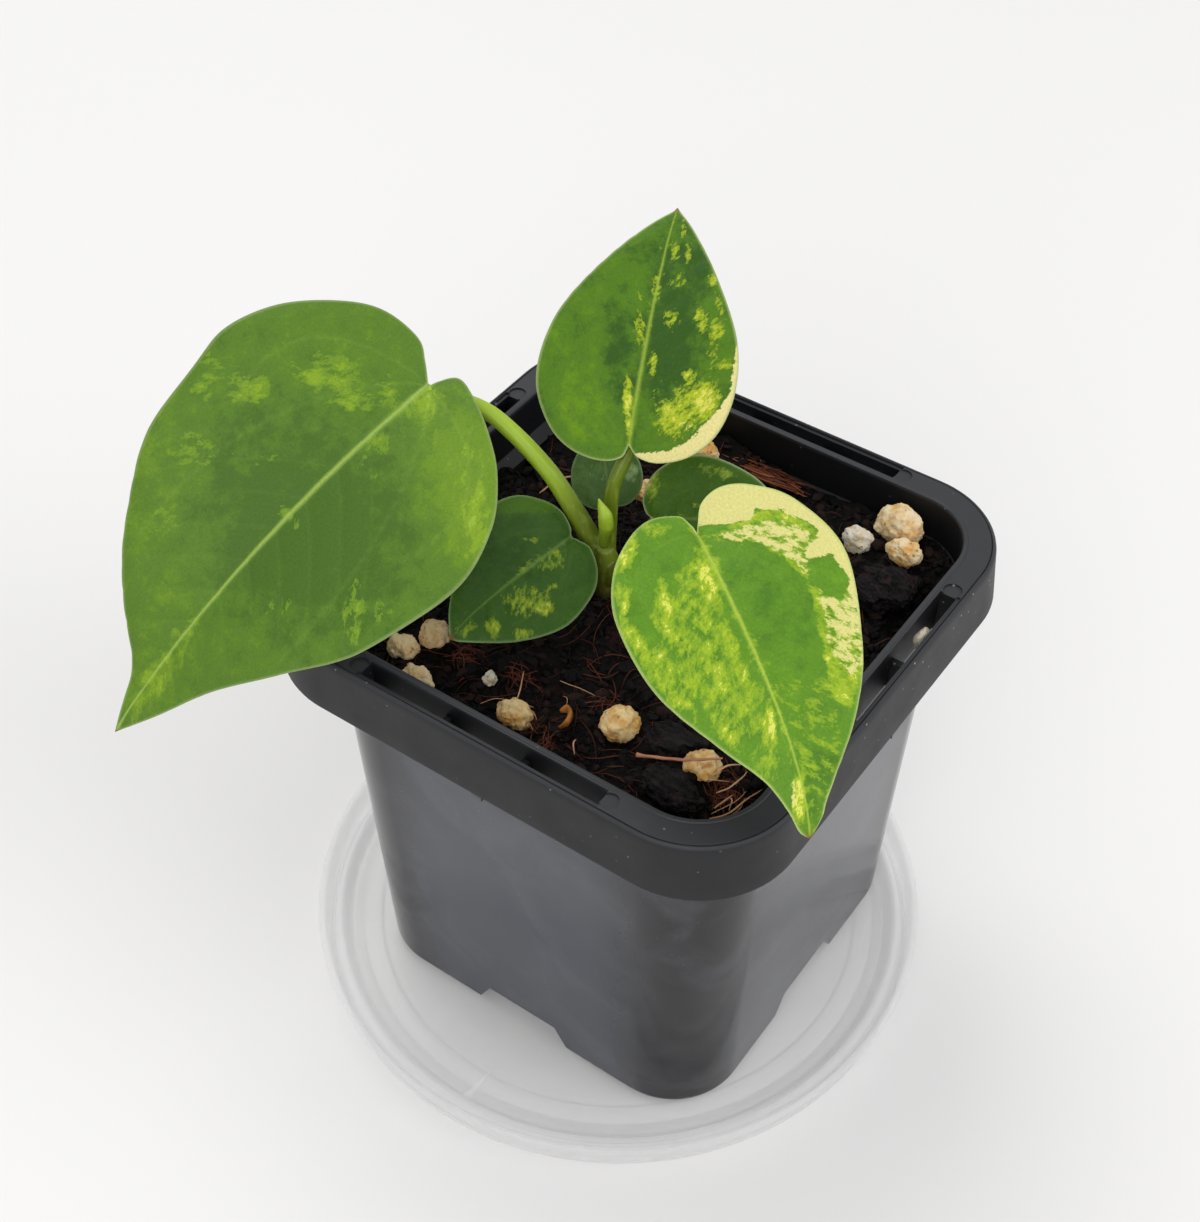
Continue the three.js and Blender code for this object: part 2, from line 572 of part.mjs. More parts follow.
// Merges equal corners and leaves out the faces that shrink to a line at the joint and the tip.
function dropSlivers(geometry) {
  const merged = mergeVertices(geometry, 1e-3);
  const index = merged.index.array, kept = [];
  for (let i = 0; i < index.length; i += 3) {
    const [a, b, c] = [index[i], index[i + 1], index[i + 2]];
    if (a !== b && b !== c && a !== c) kept.push(a, b, c);
  }
  merged.setIndex(kept);
  return merged;
}

// The points of a leaf's stalk, up to its end just under the blade, a little past the joint.
function stalkPoints(leaf) {
  const frame = leafFrame(leaf);
  const joint = new THREE.Vector3(...leaf.joint).addScaledVector(frame.along, 0.8);
  const points = leaf.stalk.map((p) => new THREE.Vector3(...p));
  let end = joint;
  for (let pass = 0; pass < 3; pass++) {
    const tangent = new THREE.CatmullRomCurve3([...points, end], false, "centripetal").getTangent(1);
    const lean = tangent.angleTo(frame.out);
    const down = blade.half + gap + 0.1 + leaf.stalkRadii.at(-1) * Math.sin(lean);
    end = joint.clone().addScaledVector(frame.out, -down);
  }
  return [...points, end].map((p) => p.toArray());
}

function makePlant() {
  for (const [name, leaf] of Object.entries(leaves))
    addPiece(name, toGeometry(toSolid(makeBlade(leaf))), colours[name], 0.5);
  let stalks = taperedTube(stem.points, stem.radii, 12, 8);
  for (const leaf of Object.values(leaves)) {
    const sides = leaf.stalkRadii[0] > 1 ? 10 : 8;
    stalks = stalks.add(taperedTube(stalkPoints(leaf), leaf.stalkRadii, sides, 14));
  }
  addPiece("stem_and_stalks", toGeometry(stalks), colours.stem, 0.5);
  addPiece("bud", toGeometry(taperedTube(bud.points, bud.radii, 8, 8)), colours.bud, 0.5);
}

makeSaucer();
makePot();
makeMix();
makeLooseThings();
makePlant();

export default group;
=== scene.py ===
import math
import bmesh
import bpy
import numpy as np
from mathutils import Matrix, Vector


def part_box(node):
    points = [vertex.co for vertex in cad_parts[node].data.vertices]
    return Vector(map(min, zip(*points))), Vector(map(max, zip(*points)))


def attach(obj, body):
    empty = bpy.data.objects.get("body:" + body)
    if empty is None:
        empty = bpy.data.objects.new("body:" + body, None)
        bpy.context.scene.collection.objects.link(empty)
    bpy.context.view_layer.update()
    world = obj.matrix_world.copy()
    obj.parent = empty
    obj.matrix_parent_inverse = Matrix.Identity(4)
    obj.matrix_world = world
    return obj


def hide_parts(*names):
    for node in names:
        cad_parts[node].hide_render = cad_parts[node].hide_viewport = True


# A young variegated anthurium in its square nursery pot on a clear saucer. Sizes are in millimetres.
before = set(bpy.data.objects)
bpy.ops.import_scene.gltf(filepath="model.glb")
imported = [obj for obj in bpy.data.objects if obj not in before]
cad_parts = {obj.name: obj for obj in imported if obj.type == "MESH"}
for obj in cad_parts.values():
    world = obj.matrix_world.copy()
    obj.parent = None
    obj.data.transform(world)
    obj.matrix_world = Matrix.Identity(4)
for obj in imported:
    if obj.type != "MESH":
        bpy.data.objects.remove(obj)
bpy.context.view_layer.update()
mm = 0.001
print("frame loaded:", len(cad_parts), "nodes")


# Small helpers

def srgb(code):
    values = [int(code[i:i + 2], 16) / 255 for i in (1, 3, 5)]
    return tuple(v / 12.92 if v <= 0.04045 else ((v + 0.055) / 1.055) ** 2.4 for v in values) + (1.0,)


# Adds a node with its links, fixed values and settings, and gives back one of its outputs or all of them
def addNode(tree, kind, inputs=None, output=0, **settings):
    node = tree.nodes.new("ShaderNode" + kind)
    for name, value in settings.items():
        setattr(node, name, value)
    for name, value in (inputs or {}).items():
        if isinstance(value, bpy.types.NodeSocket):
            tree.links.new(value, node.inputs[name])
        else:
            node.inputs[name].default_value = value
    return node.outputs if output is None else node.outputs[output]


# Starts a material with its patterns. Each is a noise: the width of its blobs in mm, its detail and, where
# they aren't the usual ones, its roughness and distortion. They lie over the object, or over an attribute
# that is in millimetres already.
def newMaterial(name, patterns, attribute=None):
    material = bpy.data.materials.new(name)
    material.use_nodes = True
    tree = material.node_tree
    tree.nodes.clear()
    if attribute:
        place, unit = addNode(tree, "Attribute", {}, "Vector", attribute_name=attribute), 1.0
    else:
        place, unit = addNode(tree, "TexCoord", {}, "Object"), mm
    noises = []
    for size, detail, *more in patterns:
        roughness, distortion = more or (0.55, 0.0)
        noises.append(addNode(tree, "TexNoise", {
            "Vector": place, "Scale": 1 / (size * unit), "Detail": detail, "Roughness": roughness,
            "Distortion": distortion}, "Fac"))
    return material, tree, place, *noises


# Lays colours over one another. Each layer: the value that shows it, where it starts and where it is full,
# its strength when full, and its colour.
def layColours(tree, tone, layers):
    tone = srgb(tone) if isinstance(tone, str) else tone
    for value, start, full, strength, colour in layers:
        ramp = {"Value": value, "From Min": start, "From Max": full, "To Max": strength}
        mask = addNode(tree, "MapRange", ramp, interpolation_type="SMOOTHSTEP")
        tone = addNode(tree, "Mix", {0: mask, 6: tone, 7: srgb(colour)}, 2, data_type="RGBA")
    return tone


# Closes a material: its bumps, each a height and a depth in mm, then the shader with its sockets
def finishMaterial(material, tree, bumps, sockets):
    normal = {}
    for height, depth in bumps:
        bump = {"Height": height, "Distance": depth * mm, "Strength": 1.0}
        normal = {"Normal": addNode(tree, "Bump", {**bump, **normal})}
    surface = addNode(tree, "BsdfPrincipled", {**sockets, **normal})
    addNode(tree, "OutputMaterial", {"Surface": surface}, None)
    return material


# Quads between rings of count points each, with a face that closes either end
def ringFaces(rings, count, inward=False):
    faces = []
    for level in range(rings - 1):
        for i in range(count):
            a, b = level * count + i, level * count + (i + 1) % count
            faces.append((a, a + count, b + count, b) if inward else (a, b, b + count, a + count))
    first, last = tuple(range(count)), tuple(range((rings - 1) * count, rings * count))
    return faces + ([first, last[::-1]] if inward else [first[::-1], last])


def makeObject(name, points, faces, materials=(), smooth=True, faceMaterials=None):
    mesh = bpy.data.meshes.new(name)
    mesh.from_pydata((np.asarray(points, float) * mm).tolist(), [], faces)
    for material in materials:
        mesh.materials.append(material)
    if faceMaterials is not None:
        mesh.polygons.foreach_set("material_index", np.asarray(faceMaterials, dtype=np.int32))
    mesh.polygons.foreach_set("use_smooth", np.full(len(mesh.polygons), smooth))
    mesh.update()
    made = bpy.data.objects.new(name, mesh)
    bpy.context.scene.collection.objects.link(made)
    return made


def addPointValues(made, name, values):
    values = np.asarray(values, dtype=np.float32)
    kind = "FLOAT" if values.ndim == 1 else "FLOAT_VECTOR"
    layer = made.data.attributes.new(name, kind, "POINT")
    layer.data.foreach_set("value" if kind == "FLOAT" else "vector", values.ravel())


def applyModifiers(made):
    shown = made.evaluated_get(bpy.context.evaluated_depsgraph_get())
    mesh = bpy.data.meshes.new_from_object(shown)
    made.modifiers.clear()
    made.data = mesh


def triangles(made):
    return sum(len(face.vertices) - 2 for face in made.data.polygons)


def register(made, slot, *nodes):
    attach(made, "root")
    if nodes:
        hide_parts(*nodes)
    print("  made", made.name, triangles(made), "triangles")


# Repeatable value noise from -1 to 1 at points given in millimetres
def grainNoise(points, size, seed=0, octaves=3, gain=0.5):
    points = np.asarray(points, float)
    total = np.zeros(len(points))
    weight, scale, whole = 1.0, 1.0 / size, 0.0
    for octave in range(octaves):
        place = points * scale + 17.3 * (seed + octave)
        cell = np.floor(place).astype(np.int64)
        part = place - cell
        part = part * part * (3 - 2 * part)
        value = np.zeros(len(points))
        for corner in range(8):
            step = np.array([corner & 1, (corner >> 1) & 1, (corner >> 2) & 1])
            key = cell + step
            mixed = (key[:, 0] * 73856093) ^ (key[:, 1] * 19349663) ^ (key[:, 2] * 83492791)
            mixed = (mixed ^ (mixed >> 13)) * 1274126177
            mixed = (mixed ^ (mixed >> 16)) & 0xFFFFFF
            share = np.prod(np.where(step == 1, part, 1 - part), axis=1)
            value += share * (mixed / 0x7FFFFF - 1)
        total += weight * value
        whole += weight
        weight *= gain
        scale *= 2.1
    return total / whole


# Points on a curve through the given points, evenly spaced in each stretch's own parameter
def throughPoints(points, count, centripetal=True):
    points = np.asarray(points, float)
    padded = np.vstack([2 * points[0] - points[1], points, 2 * points[-1] - points[-2]])
    result = []
    for step in np.linspace(0, len(points) - 1, count):
        k = min(int(step), len(points) - 2)
        p0, p1, p2, p3 = padded[k:k + 4]
        t = step - k
        if not centripetal:
            result.append(0.5 * ((2 * p1) + (p2 - p0) * t + (2 * p0 - 5 * p1 + 4 * p2 - p3) * t ** 2
                                 + (3 * p1 - p0 - 3 * p2 + p3) * t ** 3))
            continue
        knots = np.cumsum([0] + [max(np.linalg.norm(b - a), 1e-6) ** 0.5
                                 for a, b in ((p0, p1), (p1, p2), (p2, p3))])
        x = knots[1] + t * (knots[2] - knots[1])
        between = lambda a, b, i, j: ((knots[j] - x) * a + (x - knots[i]) * b) / (knots[j] - knots[i])
        a1, a2, a3 = between(p0, p1, 0, 1), between(p1, p2, 1, 2), between(p2, p3, 2, 3)
        result.append(between(between(a1, a2, 0, 2), between(a2, a3, 1, 3), 1, 2))
    return np.array(result)


# A closed tube along the points. shape(angle, share along) scales its radius.
def sweepTube(path, radii, sides=12, shape=None):
    path = np.asarray(path, float)
    count = len(path)
    tangents = np.gradient(path, axis=0)
    tangents /= np.linalg.norm(tangents, axis=1)[:, None]
    side = np.cross(tangents[0], [0.31, 0.95, 0.05])  # any direction that no path starts in
    side /= np.linalg.norm(side)
    places = np.linspace(0, len(radii) - 1, count)
    thickness = np.interp(places, np.arange(len(radii)), radii)
    points = []
    for i in range(count):
        side = side - tangents[i] * np.dot(side, tangents[i])
        side /= np.linalg.norm(side)
        other = np.cross(tangents[i], side)
        for s in range(sides):
            angle = 2 * math.pi * s / sides
            reach = thickness[i] * (shape(angle, i / (count - 1)) if shape else 1.0)
            points.append(path[i] + reach * (math.cos(angle) * side + math.sin(angle) * other))
    return np.array(points), ringFaces(count, sides)


# Joins several (points, faces) bodies into one list
def joinBodies(bodies):
    points, faces, start = [], [], 0
    for bodyPoints, bodyFaces in bodies:
        points.append(bodyPoints)
        faces += [tuple(i + start for i in face) for face in bodyFaces]
        start += len(bodyPoints)
    return np.vstack(points), faces


# Stage: camera, floor and light

camera = {
    "place": (106.91, -161.86, 262.77),
    "right": (0.8166, 0.5772, -0.0009),
    "up": (-0.4085, 0.579, 0.7056),
    "back": (0.4078, -0.5758, 0.7086),
    "focal": 56.41,
    "sensor": 36.0,
}


def makeCamera():
    data = bpy.data.cameras.new("camera")
    data.lens = camera["focal"]
    data.sensor_width = camera["sensor"]
    data.sensor_fit = "AUTO"
    data.clip_start, data.clip_end = 0.01, 20
    made = bpy.data.objects.new("camera", data)
    bpy.context.scene.collection.objects.link(made)
    turned = Matrix([camera["right"], camera["up"], camera["back"]]).transposed().to_4x4()
    made.matrix_world = Matrix.Translation(Vector(camera["place"]) * mm) @ turned
    bpy.context.scene.camera = made


studio = {
    "floorSize": 8000,
    "floorColours": ("#e9e8e7", "#efeeed"),
    "wall": "#f4f4f5",
    "wallStrength": 0.72,
    "lights": [
        # name, place, aimed at, size, power in watts
        ("window", (-650, 350, 1150), (0, 0, 40), 900, 4.6),
        ("fill", (900, 150, 750), (0, 0, 40), 800, 3.9),
        ("front", (260, -950, 780), (0, 0, 30), 900, 4.6),
    ],
}


# White melamine board: a matt, barely mottled surface
def makeFloorMaterial():
    material, tree, place, cloud = newMaterial("white_board", [(400, 2)])
    low, high = (srgb(colour) for colour in studio["floorColours"])
    tone = addNode(tree, "Mix", {0: cloud, 6: low, 7: high}, 2, data_type="RGBA")
    return finishMaterial(material, tree, [], {
        "Base Color": tone, "Roughness": 0.55, "Specular IOR Level": 0.3})


def makeStage():
    half = studio["floorSize"] / 2
    corners = [(-half, -half, 0), (half, -half, 0), (half, half, 0), (-half, half, 0)]
    floor = makeObject("floor", corners, [(0, 1, 2, 3)], [makeFloorMaterial()])
    world = bpy.data.worlds.new("studio")
    world.use_nodes = True
    backdrop = world.node_tree.nodes["Background"]
    backdrop.inputs[0].default_value = srgb(studio["wall"])
    backdrop.inputs[1].default_value = studio["wallStrength"]
    bpy.context.scene.world = world
    for name, place, aim, size, power in studio["lights"]:
        data = bpy.data.lights.new(name, "AREA")
        data.shape = "DISK"
        data.size = size * mm
        data.energy = power
        made = bpy.data.objects.new(name, data)
        bpy.context.scene.collection.objects.link(made)
        made.location = Vector(place) * mm
        made.rotation_euler = (Vector(aim) - Vector(place)).to_track_quat("-Z", "Y").to_euler()
    view = bpy.context.scene.view_settings
    view.view_transform = "Standard"
    view.look = "None"


makeCamera()
makeStage()
print("stage ready")

# Saucer

saucer = {
    "centre": (-1.9, -3.1),
    "sheet": 1.2,
    "flat": (0.4, 6, 14, 22, 30, 36),
    "flatBelow": (38, 30, 20, 10, 0.4),
    "steps": 220,
    # The upper face from the middle out to the rim: radius, height
    "upper": [(38.9, 1.2), (39.15, 1.22), (39.45, 1.5), (39.7, 1.55), (42.1, 1.55), (42.3, 1.42),
              (42.5, 1.42), (42.7, 1.55), (44, 1.55), (44.35, 1.68), (44.9, 2.5), (45.2, 2.95), (45.55, 3.28),
              (45.9, 3.4),
              (46.2, 3.38), (46.5, 3.2), (46.8, 3.02), (47.1, 3.0), (47.6, 3.05), (47.9, 3.4), (48.1, 4.6),
              (48.25, 5.25), (48.5, 5.52), (48.8, 5.6), (49.1, 5.58), (49.38, 5.4), (49.48, 5.1)],
    "under": [(49.5, 4.8), (49.35, 4.2), (48.75, 2.0), (48.3, 0.35), (48.15, 0.08), (47.9, 0), (47.5, 0),
              (47.3, 0.2), (47.2, 1.5), (46.8, 1.9), (46.5, 2.1), (46.1, 2.2), (45.6, 1.6), (45.0, 0.3),
              (44.6, 0.03), (44.0, 0)],
    # Painted shade in the groove, against the rim and beside the rings: radius, width, strength, colour
    "dustAndPaintedShade": [(47.2, 0.7, 0.3, "#b9b8bb"), (49.35, 0.5, 0.25, "#bdbcc0"), (42.4, 0.35, 0.25, "#b4b3b7"),
             (39.3, 0.35, 0.2, "#c9c8cb")],
    "clear": 0.21,
}


# Clear polypropylene, thermoformed: milky, half clear, with soft highlights on its rings and painted grey
# shade lines in its groove and beside its rings
def makeSaucerMaterial():
    material, tree, place, cloud, rough, waves = newMaterial(
        "clear_polypropylene", [(22, 3), (3, 4), (30, 1)])
    tone = addNode(tree, "Mix", {0: cloud, 6: srgb("#f8f8f9"), 7: srgb("#ffffff")}, 2, data_type="RGBA")
    flat = addNode(tree, "VectorMath", {0: place, 1: (1, 1, 0)}, operation="MULTIPLY")
    centre = Vector((*saucer["centre"], 0)) * mm
    reach = addNode(tree, "VectorMath", {0: flat, 1: centre}, "Value", operation="DISTANCE")
    # Painted shade: a grey line at each of these radii
    for radius, width, strength, colour in saucer["dustAndPaintedShade"]:
        beyond = addNode(tree, "Math", {0: reach, 1: radius * mm}, operation="SUBTRACT")
        away = addNode(tree, "Math", {0: beyond}, operation="ABSOLUTE")
        tone = layColours(tree, tone, [(away, width * mm, 0.0, strength, colour)])
    return finishMaterial(material, tree, [(waves, 0.1)], {
        "Base Color": tone, "IOR": 1.49, "Alpha": saucer["clear"], "Specular IOR Level": 0.4,
        "Roughness": addNode(tree, "Math", {0: rough, 1: 0.1, 2: 0.2}, operation="MULTIPLY_ADD")})


def makeSaucer():
    profile = [(r, saucer["sheet"]) for r in saucer["flat"]] + saucer["upper"] + saucer["under"]
    profile += [(r, 0) for r in saucer["flatBelow"]]
    steps = saucer["steps"]
    angles = np.arange(steps) * 2 * math.pi / steps
    centreX, centreY = saucer["centre"]
    points = [(centreX + r * math.cos(t), centreY + r * math.sin(t), z) for r, z in profile for t in angles]
    faces = ringFaces(len(profile), steps, inward=True)
    made = makeObject("saucer_sheet", points, faces, [makeSaucerMaterial()])
    register(made, "saucer_plastic", "saucer")


makeSaucer()
print("saucer made")

# Pot

pot = {
    "base": 1.85,
    "height": 75.5,
    "perCorner": 22,
    "wall": 1.1,
    "foot": {"half": 32.1, "corner": 11.7},
    "waist": {"half": 34.7, "corner": 12.4, "below": 8.6},
    "collar": {"half": 36.3, "corner": 10.6, "below": 7.0},
    "rim": {"half": 40.0, "corner": 14.55, "plate": 1.4},
    # The rim's outer lip and the crease inside it: half width, depth below the top
    "lip": [(39.2, 0.14), (39.33, 0.2), (39.42, 0.42), (39.52, 0.22), (39.66, 0.16), (39.84, 0.26),
            (40.0, 0.5), (40.1, 0.9), (40.16, 1.6)],
    "skirt": {"half": 40.7, "corner": 14.6, "drop": 9.8, "wall": 1.2},
    "footHeight": 3.6,
    "floor": 1.2,
    "slot": {"halfLength": 19.3, "inner": 36.3, "outer": 38.7, "step": 0.55, "stepDepth": 0.5},
    "rib": {"at": (-6.4, 6.4), "endAt": (-19.8, 19.8), "thick": 1.0, "recess": 3.0, "endRecess": 0.7,
            "foot": 1.2},
    "thumb": {"radius": 1.35, "depth": 0.4, "at": 20.3, "out": 0.15},
    "nub": {"at": 1.0, "wide": 1.7, "drop": 0.7},
    "notch": {"bottomHalf": 9.3, "topHalf": 6.3, "height": 4.6},
    "drain": {"radius": 4.0, "at": ((0, 0), (15, 15), (-15, 15), (-15, -15), (15, -15))},
}
potTop = pot["base"] + pot["height"]


# The corners of a square with round corners, going round at height z
def squareRing(half, corner, z, perCorner):
    corner = min(corner, half * 0.98)
    ring = []
    for k, (sideX, sideY) in enumerate(((1, 1), (-1, 1), (-1, -1), (1, -1))):
        for i in range(perCorner):
            angle = (k + i / (perCorner - 1)) * math.pi / 2
            ring.append((sideX * (half - corner) + corner * math.cos(angle),
                         sideY * (half - corner) + corner * math.sin(angle), z))
    return ring


def squareLoft(sections, perCorner):
    points = [p for section in sections for p in squareRing(*section, perCorner)]
    return np.array(points), ringFaces(len(sections), 4 * perCorner)


def boxBody(lowX, highX, lowY, highY, lowZ, highZ):
    points = [(x, y, z) for z in (lowZ, highZ) for x, y in
              ((lowX, lowY), (highX, lowY), (highX, highY), (lowX, highY))]
    faces = [(3, 2, 1, 0), (4, 5, 6, 7), (0, 1, 5, 4), (1, 2, 6, 5), (2, 3, 7, 6), (3, 0, 4, 7)]
    return np.array(points, float), faces


def discBody(x, y, radius, low, high, sides=40):
    angles = np.arange(sides) * 2 * math.pi / sides
    points = [(x + radius * math.cos(t), y + radius * math.sin(t), z) for z in (low, high) for t in angles]
    return np.array(points), ringFaces(2, sides)


# The same body turned to each of the pot's four sides
def onEachSide(body):
    points, faces = body
    turned = []
    for quarter in range(4):
        angle = quarter * math.pi / 2
        along, across = math.cos(angle), math.sin(angle)
        spin = np.array([[along, -across, 0], [across, along, 0], [0, 0, 1]])
        turned.append((points @ spin.T, faces))
    return turned


def cutWith(made, body, operation):
    tool = makeObject("tool", *body, smooth=False)
    modifier = made.modifiers.new("cut", "BOOLEAN")
    modifier.operation = operation
    modifier.solver = "EXACT"
    modifier.use_self = True
    modifier.object = tool
    applyModifiers(made)
    bpy.data.objects.remove(tool)


# Polypropylene with carbon black, injection moulded: the body is glossy, and its flats are painted grey as a
# reflection of the saucer; the rim and skirt are a duller black with white dust on them
def makePotMaterial():
    material, tree, place, cloud, haze, patch, wear, peel, waves = newMaterial(
        "black_polypropylene", [(22, 3), (13, 4, 0.55, 0.6), (14, 2), (6, 5), (0.7, 2), (18, 1)])
    split = addNode(tree, "SeparateXYZ", {0: place}, None)
    height = split[2]
    offX, offY = (addNode(tree, "Math", {0: split[k]}, operation="ABSOLUTE") for k in (0, 1))
    off = addNode(tree, "Math", {0: offX, 1: offY}, operation="MINIMUM")
    skirtEdge = (potTop - pot["skirt"]["drop"]) * mm
    above = addNode(tree, "MapRange", {"Value": height, "From Min": skirtEdge - 0.2 * mm,
                                       "From Max": skirtEdge + 0.2 * mm}, interpolation_type="SMOOTHSTEP")
    dull = addNode(tree, "Mix", {0: cloud, 6: srgb("#0c0d10"), 7: srgb("#131418")}, 2, data_type="RGBA")
    # Painted light: the rim's flat top is a lighter grey than the rest of the dull black
    dull = layColours(tree, dull, [(height, (potTop - 0.75) * mm, (potTop - 0.3) * mm, 0.85, "#2e2f33")])
    # Painted reflection: the middle of each side is greyer, with cloudy hose marks over it
    bodyWithPaintedReflection = layColours(tree, "#121316", [(off, 27 * mm, 12 * mm, 0.8, "#484a52"),
                                        (haze, 0.42, 0.75, 0.22, "#63656b")])
    tone = addNode(tree, "Mix", {0: above, 6: bodyWithPaintedReflection, 7: dull}, 2, data_type="RGBA")
    # Dust: single specks in patches, more of them on the rim, and coarser than real ones so as to show
    cells = addNode(tree, "TexVoronoi", {"Vector": place, "Scale": 1 / (1.7 * mm), "Randomness": 1.0}, None)
    draw = addNode(tree, "SeparateColor", {0: cells["Color"]})
    dustAndPaintedShade = addNode(tree, "Math", {0: draw, 1: 0.4}, operation="GREATER_THAN")
    for value, start, full, least, most in (
            (cells["Distance"], 0.13, 0.06, 0.0, 0.6), (patch, 0.4, 0.56, 0.0, 1.0),
            (height, 68 * mm, 76.5 * mm, 0.1, 1.0)):
        ramp = {"Value": value, "From Min": start, "From Max": full, "To Min": least, "To Max": most}
        share = addNode(tree, "MapRange", ramp, interpolation_type="SMOOTHSTEP")
        dustAndPaintedShade = addNode(tree, "Math", {0: dustAndPaintedShade, 1: share}, operation="MULTIPLY")
    tone = addNode(tree, "Mix", {0: dustAndPaintedShade, 6: tone, 7: srgb("#b4b2b1")}, 2, data_type="RGBA")
    glossy, matt = (addNode(tree, "Math", {0: wear, 1: spread, 2: least}, operation="MULTIPLY_ADD")
                    for spread, least in ((0.12, 0.08), (0.24, 0.4)))
    rough = addNode(tree, "Mix", {0: above, 2: glossy, 3: matt}, data_type="FLOAT")
    return finishMaterial(material, tree, [(peel, 0.008), (waves, 0.12)], {
        "Base Color": tone, "Roughness": rough, "IOR": 1.5, "Specular IOR Level": 0.4})


def makePot():
    top, base, wall = potTop, pot["base"], pot["wall"]
    foot, waist, collar, rim, skirt = (pot[k] for k in ("foot", "waist", "collar", "rim", "skirt"))
    slot, rib, thumb, nub, notch, drain = (pot[k] for k in ("slot", "rib", "thumb", "nub", "notch", "drain"))
    floorTop = base + pot["footHeight"] + pot["floor"]
    rimCorner = lambda half: rim["corner"] - rim["half"] + half
    # Once round the wall's section: up the inside, over the lip and rim, down the skirt and back, down
    # the outside, and up under the floor. Each ring: half width, corner radius, height.
    wallRings = [
        (12, 8, floorTop), (foot["half"] - wall - 0.8, foot["corner"] - wall, floorTop),
        (foot["half"] - wall - 0.1, foot["corner"] - wall, floorTop + 0.5),
        (foot["half"] - wall + 0.2, foot["corner"] - wall, floorTop + 2),
        (waist["half"] - wall, waist["corner"] - wall, top - waist["below"]),
        (collar["half"] - wall, collar["corner"] - wall, top - collar["below"]),
        (collar["half"] - wall, collar["corner"] - wall, top - 0.35),
        (collar["half"] - wall + 0.12, collar["corner"] - wall + 0.1, top - 0.1),
        (collar["half"] - wall + 0.35, rimCorner(collar["half"] - wall + 0.35), top),
        (collar["half"] - 0.35, rimCorner(collar["half"] - 0.35), top),
        (collar["half"] - 0.2, rimCorner(collar["half"] - 0.2), top - 0.14),
        *[(half, rimCorner(half), top - below) for half, below in pot["lip"]],
        (skirt["half"] - 0.15, skirt["corner"], top - 7.5),
        (skirt["half"] - 0.02, skirt["corner"], top - 9.35),
        (skirt["half"] - 0.12, skirt["corner"], top - 9.65),
        (skirt["half"] - 0.4, skirt["corner"] - 0.3, top - skirt["drop"]),
        (skirt["half"] - 0.9, skirt["corner"] - 0.8, top - skirt["drop"]),
        (skirt["half"] - skirt["wall"], skirt["corner"] - skirt["wall"], top - skirt["drop"] + 0.25),
        (rim["half"] - skirt["wall"], rim["corner"] - skirt["wall"], top - rim["plate"]),
        (collar["half"], collar["corner"], top - rim["plate"]),
        (collar["half"], collar["corner"], top - collar["below"] + 0.15),
        (collar["half"] - 0.15, collar["corner"], top - collar["below"] - 0.1),
        (waist["half"] + 0.1, waist["corner"], top - waist["below"] + 0.1),
        (waist["half"] - 0.03, waist["corner"], top - waist["below"] - 0.2),
        (foot["half"], foot["corner"], base + 0.9), (foot["half"] - 0.12, foot["corner"] - 0.12, base + 0.4),
        (foot["half"] - 0.45, foot["corner"] - 0.45, base + 0.08),
        (foot["half"] - 0.8, foot["corner"] - 0.8, base),
        (foot["half"] - wall + 0.1, foot["corner"] - wall, base + 0.1),
        (foot["half"] - wall, foot["corner"] - wall, base + 0.5),
        (foot["half"] - wall, foot["corner"] - wall, base + pot["footHeight"]),
        (12, 8, base + pot["footHeight"]),
    ]
    body = squareLoft(wallRings[::-1], pot["perCorner"])
    made = makeObject("pot_shell", *body, [makePotMaterial()])
    innerSlot, outerSlot, reach = slot["inner"], slot["outer"], slot["halfLength"]
    skirtInside, skirtFoot = skirt["half"] - skirt["wall"], top - skirt["drop"]
    for turned in onEachSide(boxBody(-reach, reach, -outerSlot, -innerSlot, top - 2.4, top + 1)):
        cutWith(made, turned, "DIFFERENCE")
    ledge = boxBody(-reach - 0.3, reach + 0.3, -outerSlot - slot["step"], -outerSlot + 0.2,
                    top - slot["stepDepth"], top + 1)
    cutWith(made, joinBodies(onEachSide(ledge)), "DIFFERENCE")
    for side in (-1, 1):
        moon = discBody(side * thumb["at"], -(outerSlot + innerSlot) / 2 - thumb["out"], thumb["radius"],
                        top - thumb["depth"], top + 1)
        cutWith(made, joinBodies(onEachSide(moon)), "DIFFERENCE")
    added = []
    for positions, recess in ((rib["at"], rib["recess"]), (rib["endAt"], rib["endRecess"])):
        for x in positions:
            added += onEachSide(boxBody(
                x - rib["thick"] / 2, x + rib["thick"] / 2, -skirtInside - 0.3, -collar["half"] + 0.3,
                skirtFoot + rib["foot"], top - recess))
    added += onEachSide(boxBody(
        nub["at"] - nub["wide"] / 2, nub["at"] + nub["wide"] / 2, -skirt["half"] + 0.15, -skirtInside - 0.1,
        skirtFoot - nub["drop"], skirtFoot + 0.4))
    cutWith(made, joinBodies(added), "UNION")
    lowWide, highWide, rise = notch["bottomHalf"], notch["topHalf"], notch["height"]
    points, faces = boxBody(-1, 1, -foot["half"] - 2, -foot["half"] + 2.2, base - 1, base + rise)
    points[:, 0] *= np.where(points[:, 2] > base, highWide, lowWide)
    cutWith(made, joinBodies(onEachSide((points, faces))), "DIFFERENCE")
    holes = [discBody(x, y, drain["radius"], base - 1, base + 8, 32) for x, y in drain["at"]]
    cutWith(made, joinBodies(holes), "DIFFERENCE")
    sharpenEdges(made, 34)
    register(made, "pot_plastic", "pot")


# Edges that turn more than so many degrees stay crisp, the rest are smooth
def sharpenEdges(made, degrees):
    work = bmesh.new()
    work.from_mesh(made.data)
    limit = math.radians(degrees)
    for edge in work.edges:
        edge.smooth = len(edge.link_faces) != 2 or edge.calc_face_angle(0) < limit
    for face in work.faces:
        face.smooth = True
    work.to_mesh(made.data)
    work.free()
    modifier = made.modifiers.new("normals", "WEIGHTED_NORMAL")
    modifier.keep_sharp = True
    applyModifiers(made)


makePot()
print("pot made")

# Growing mix

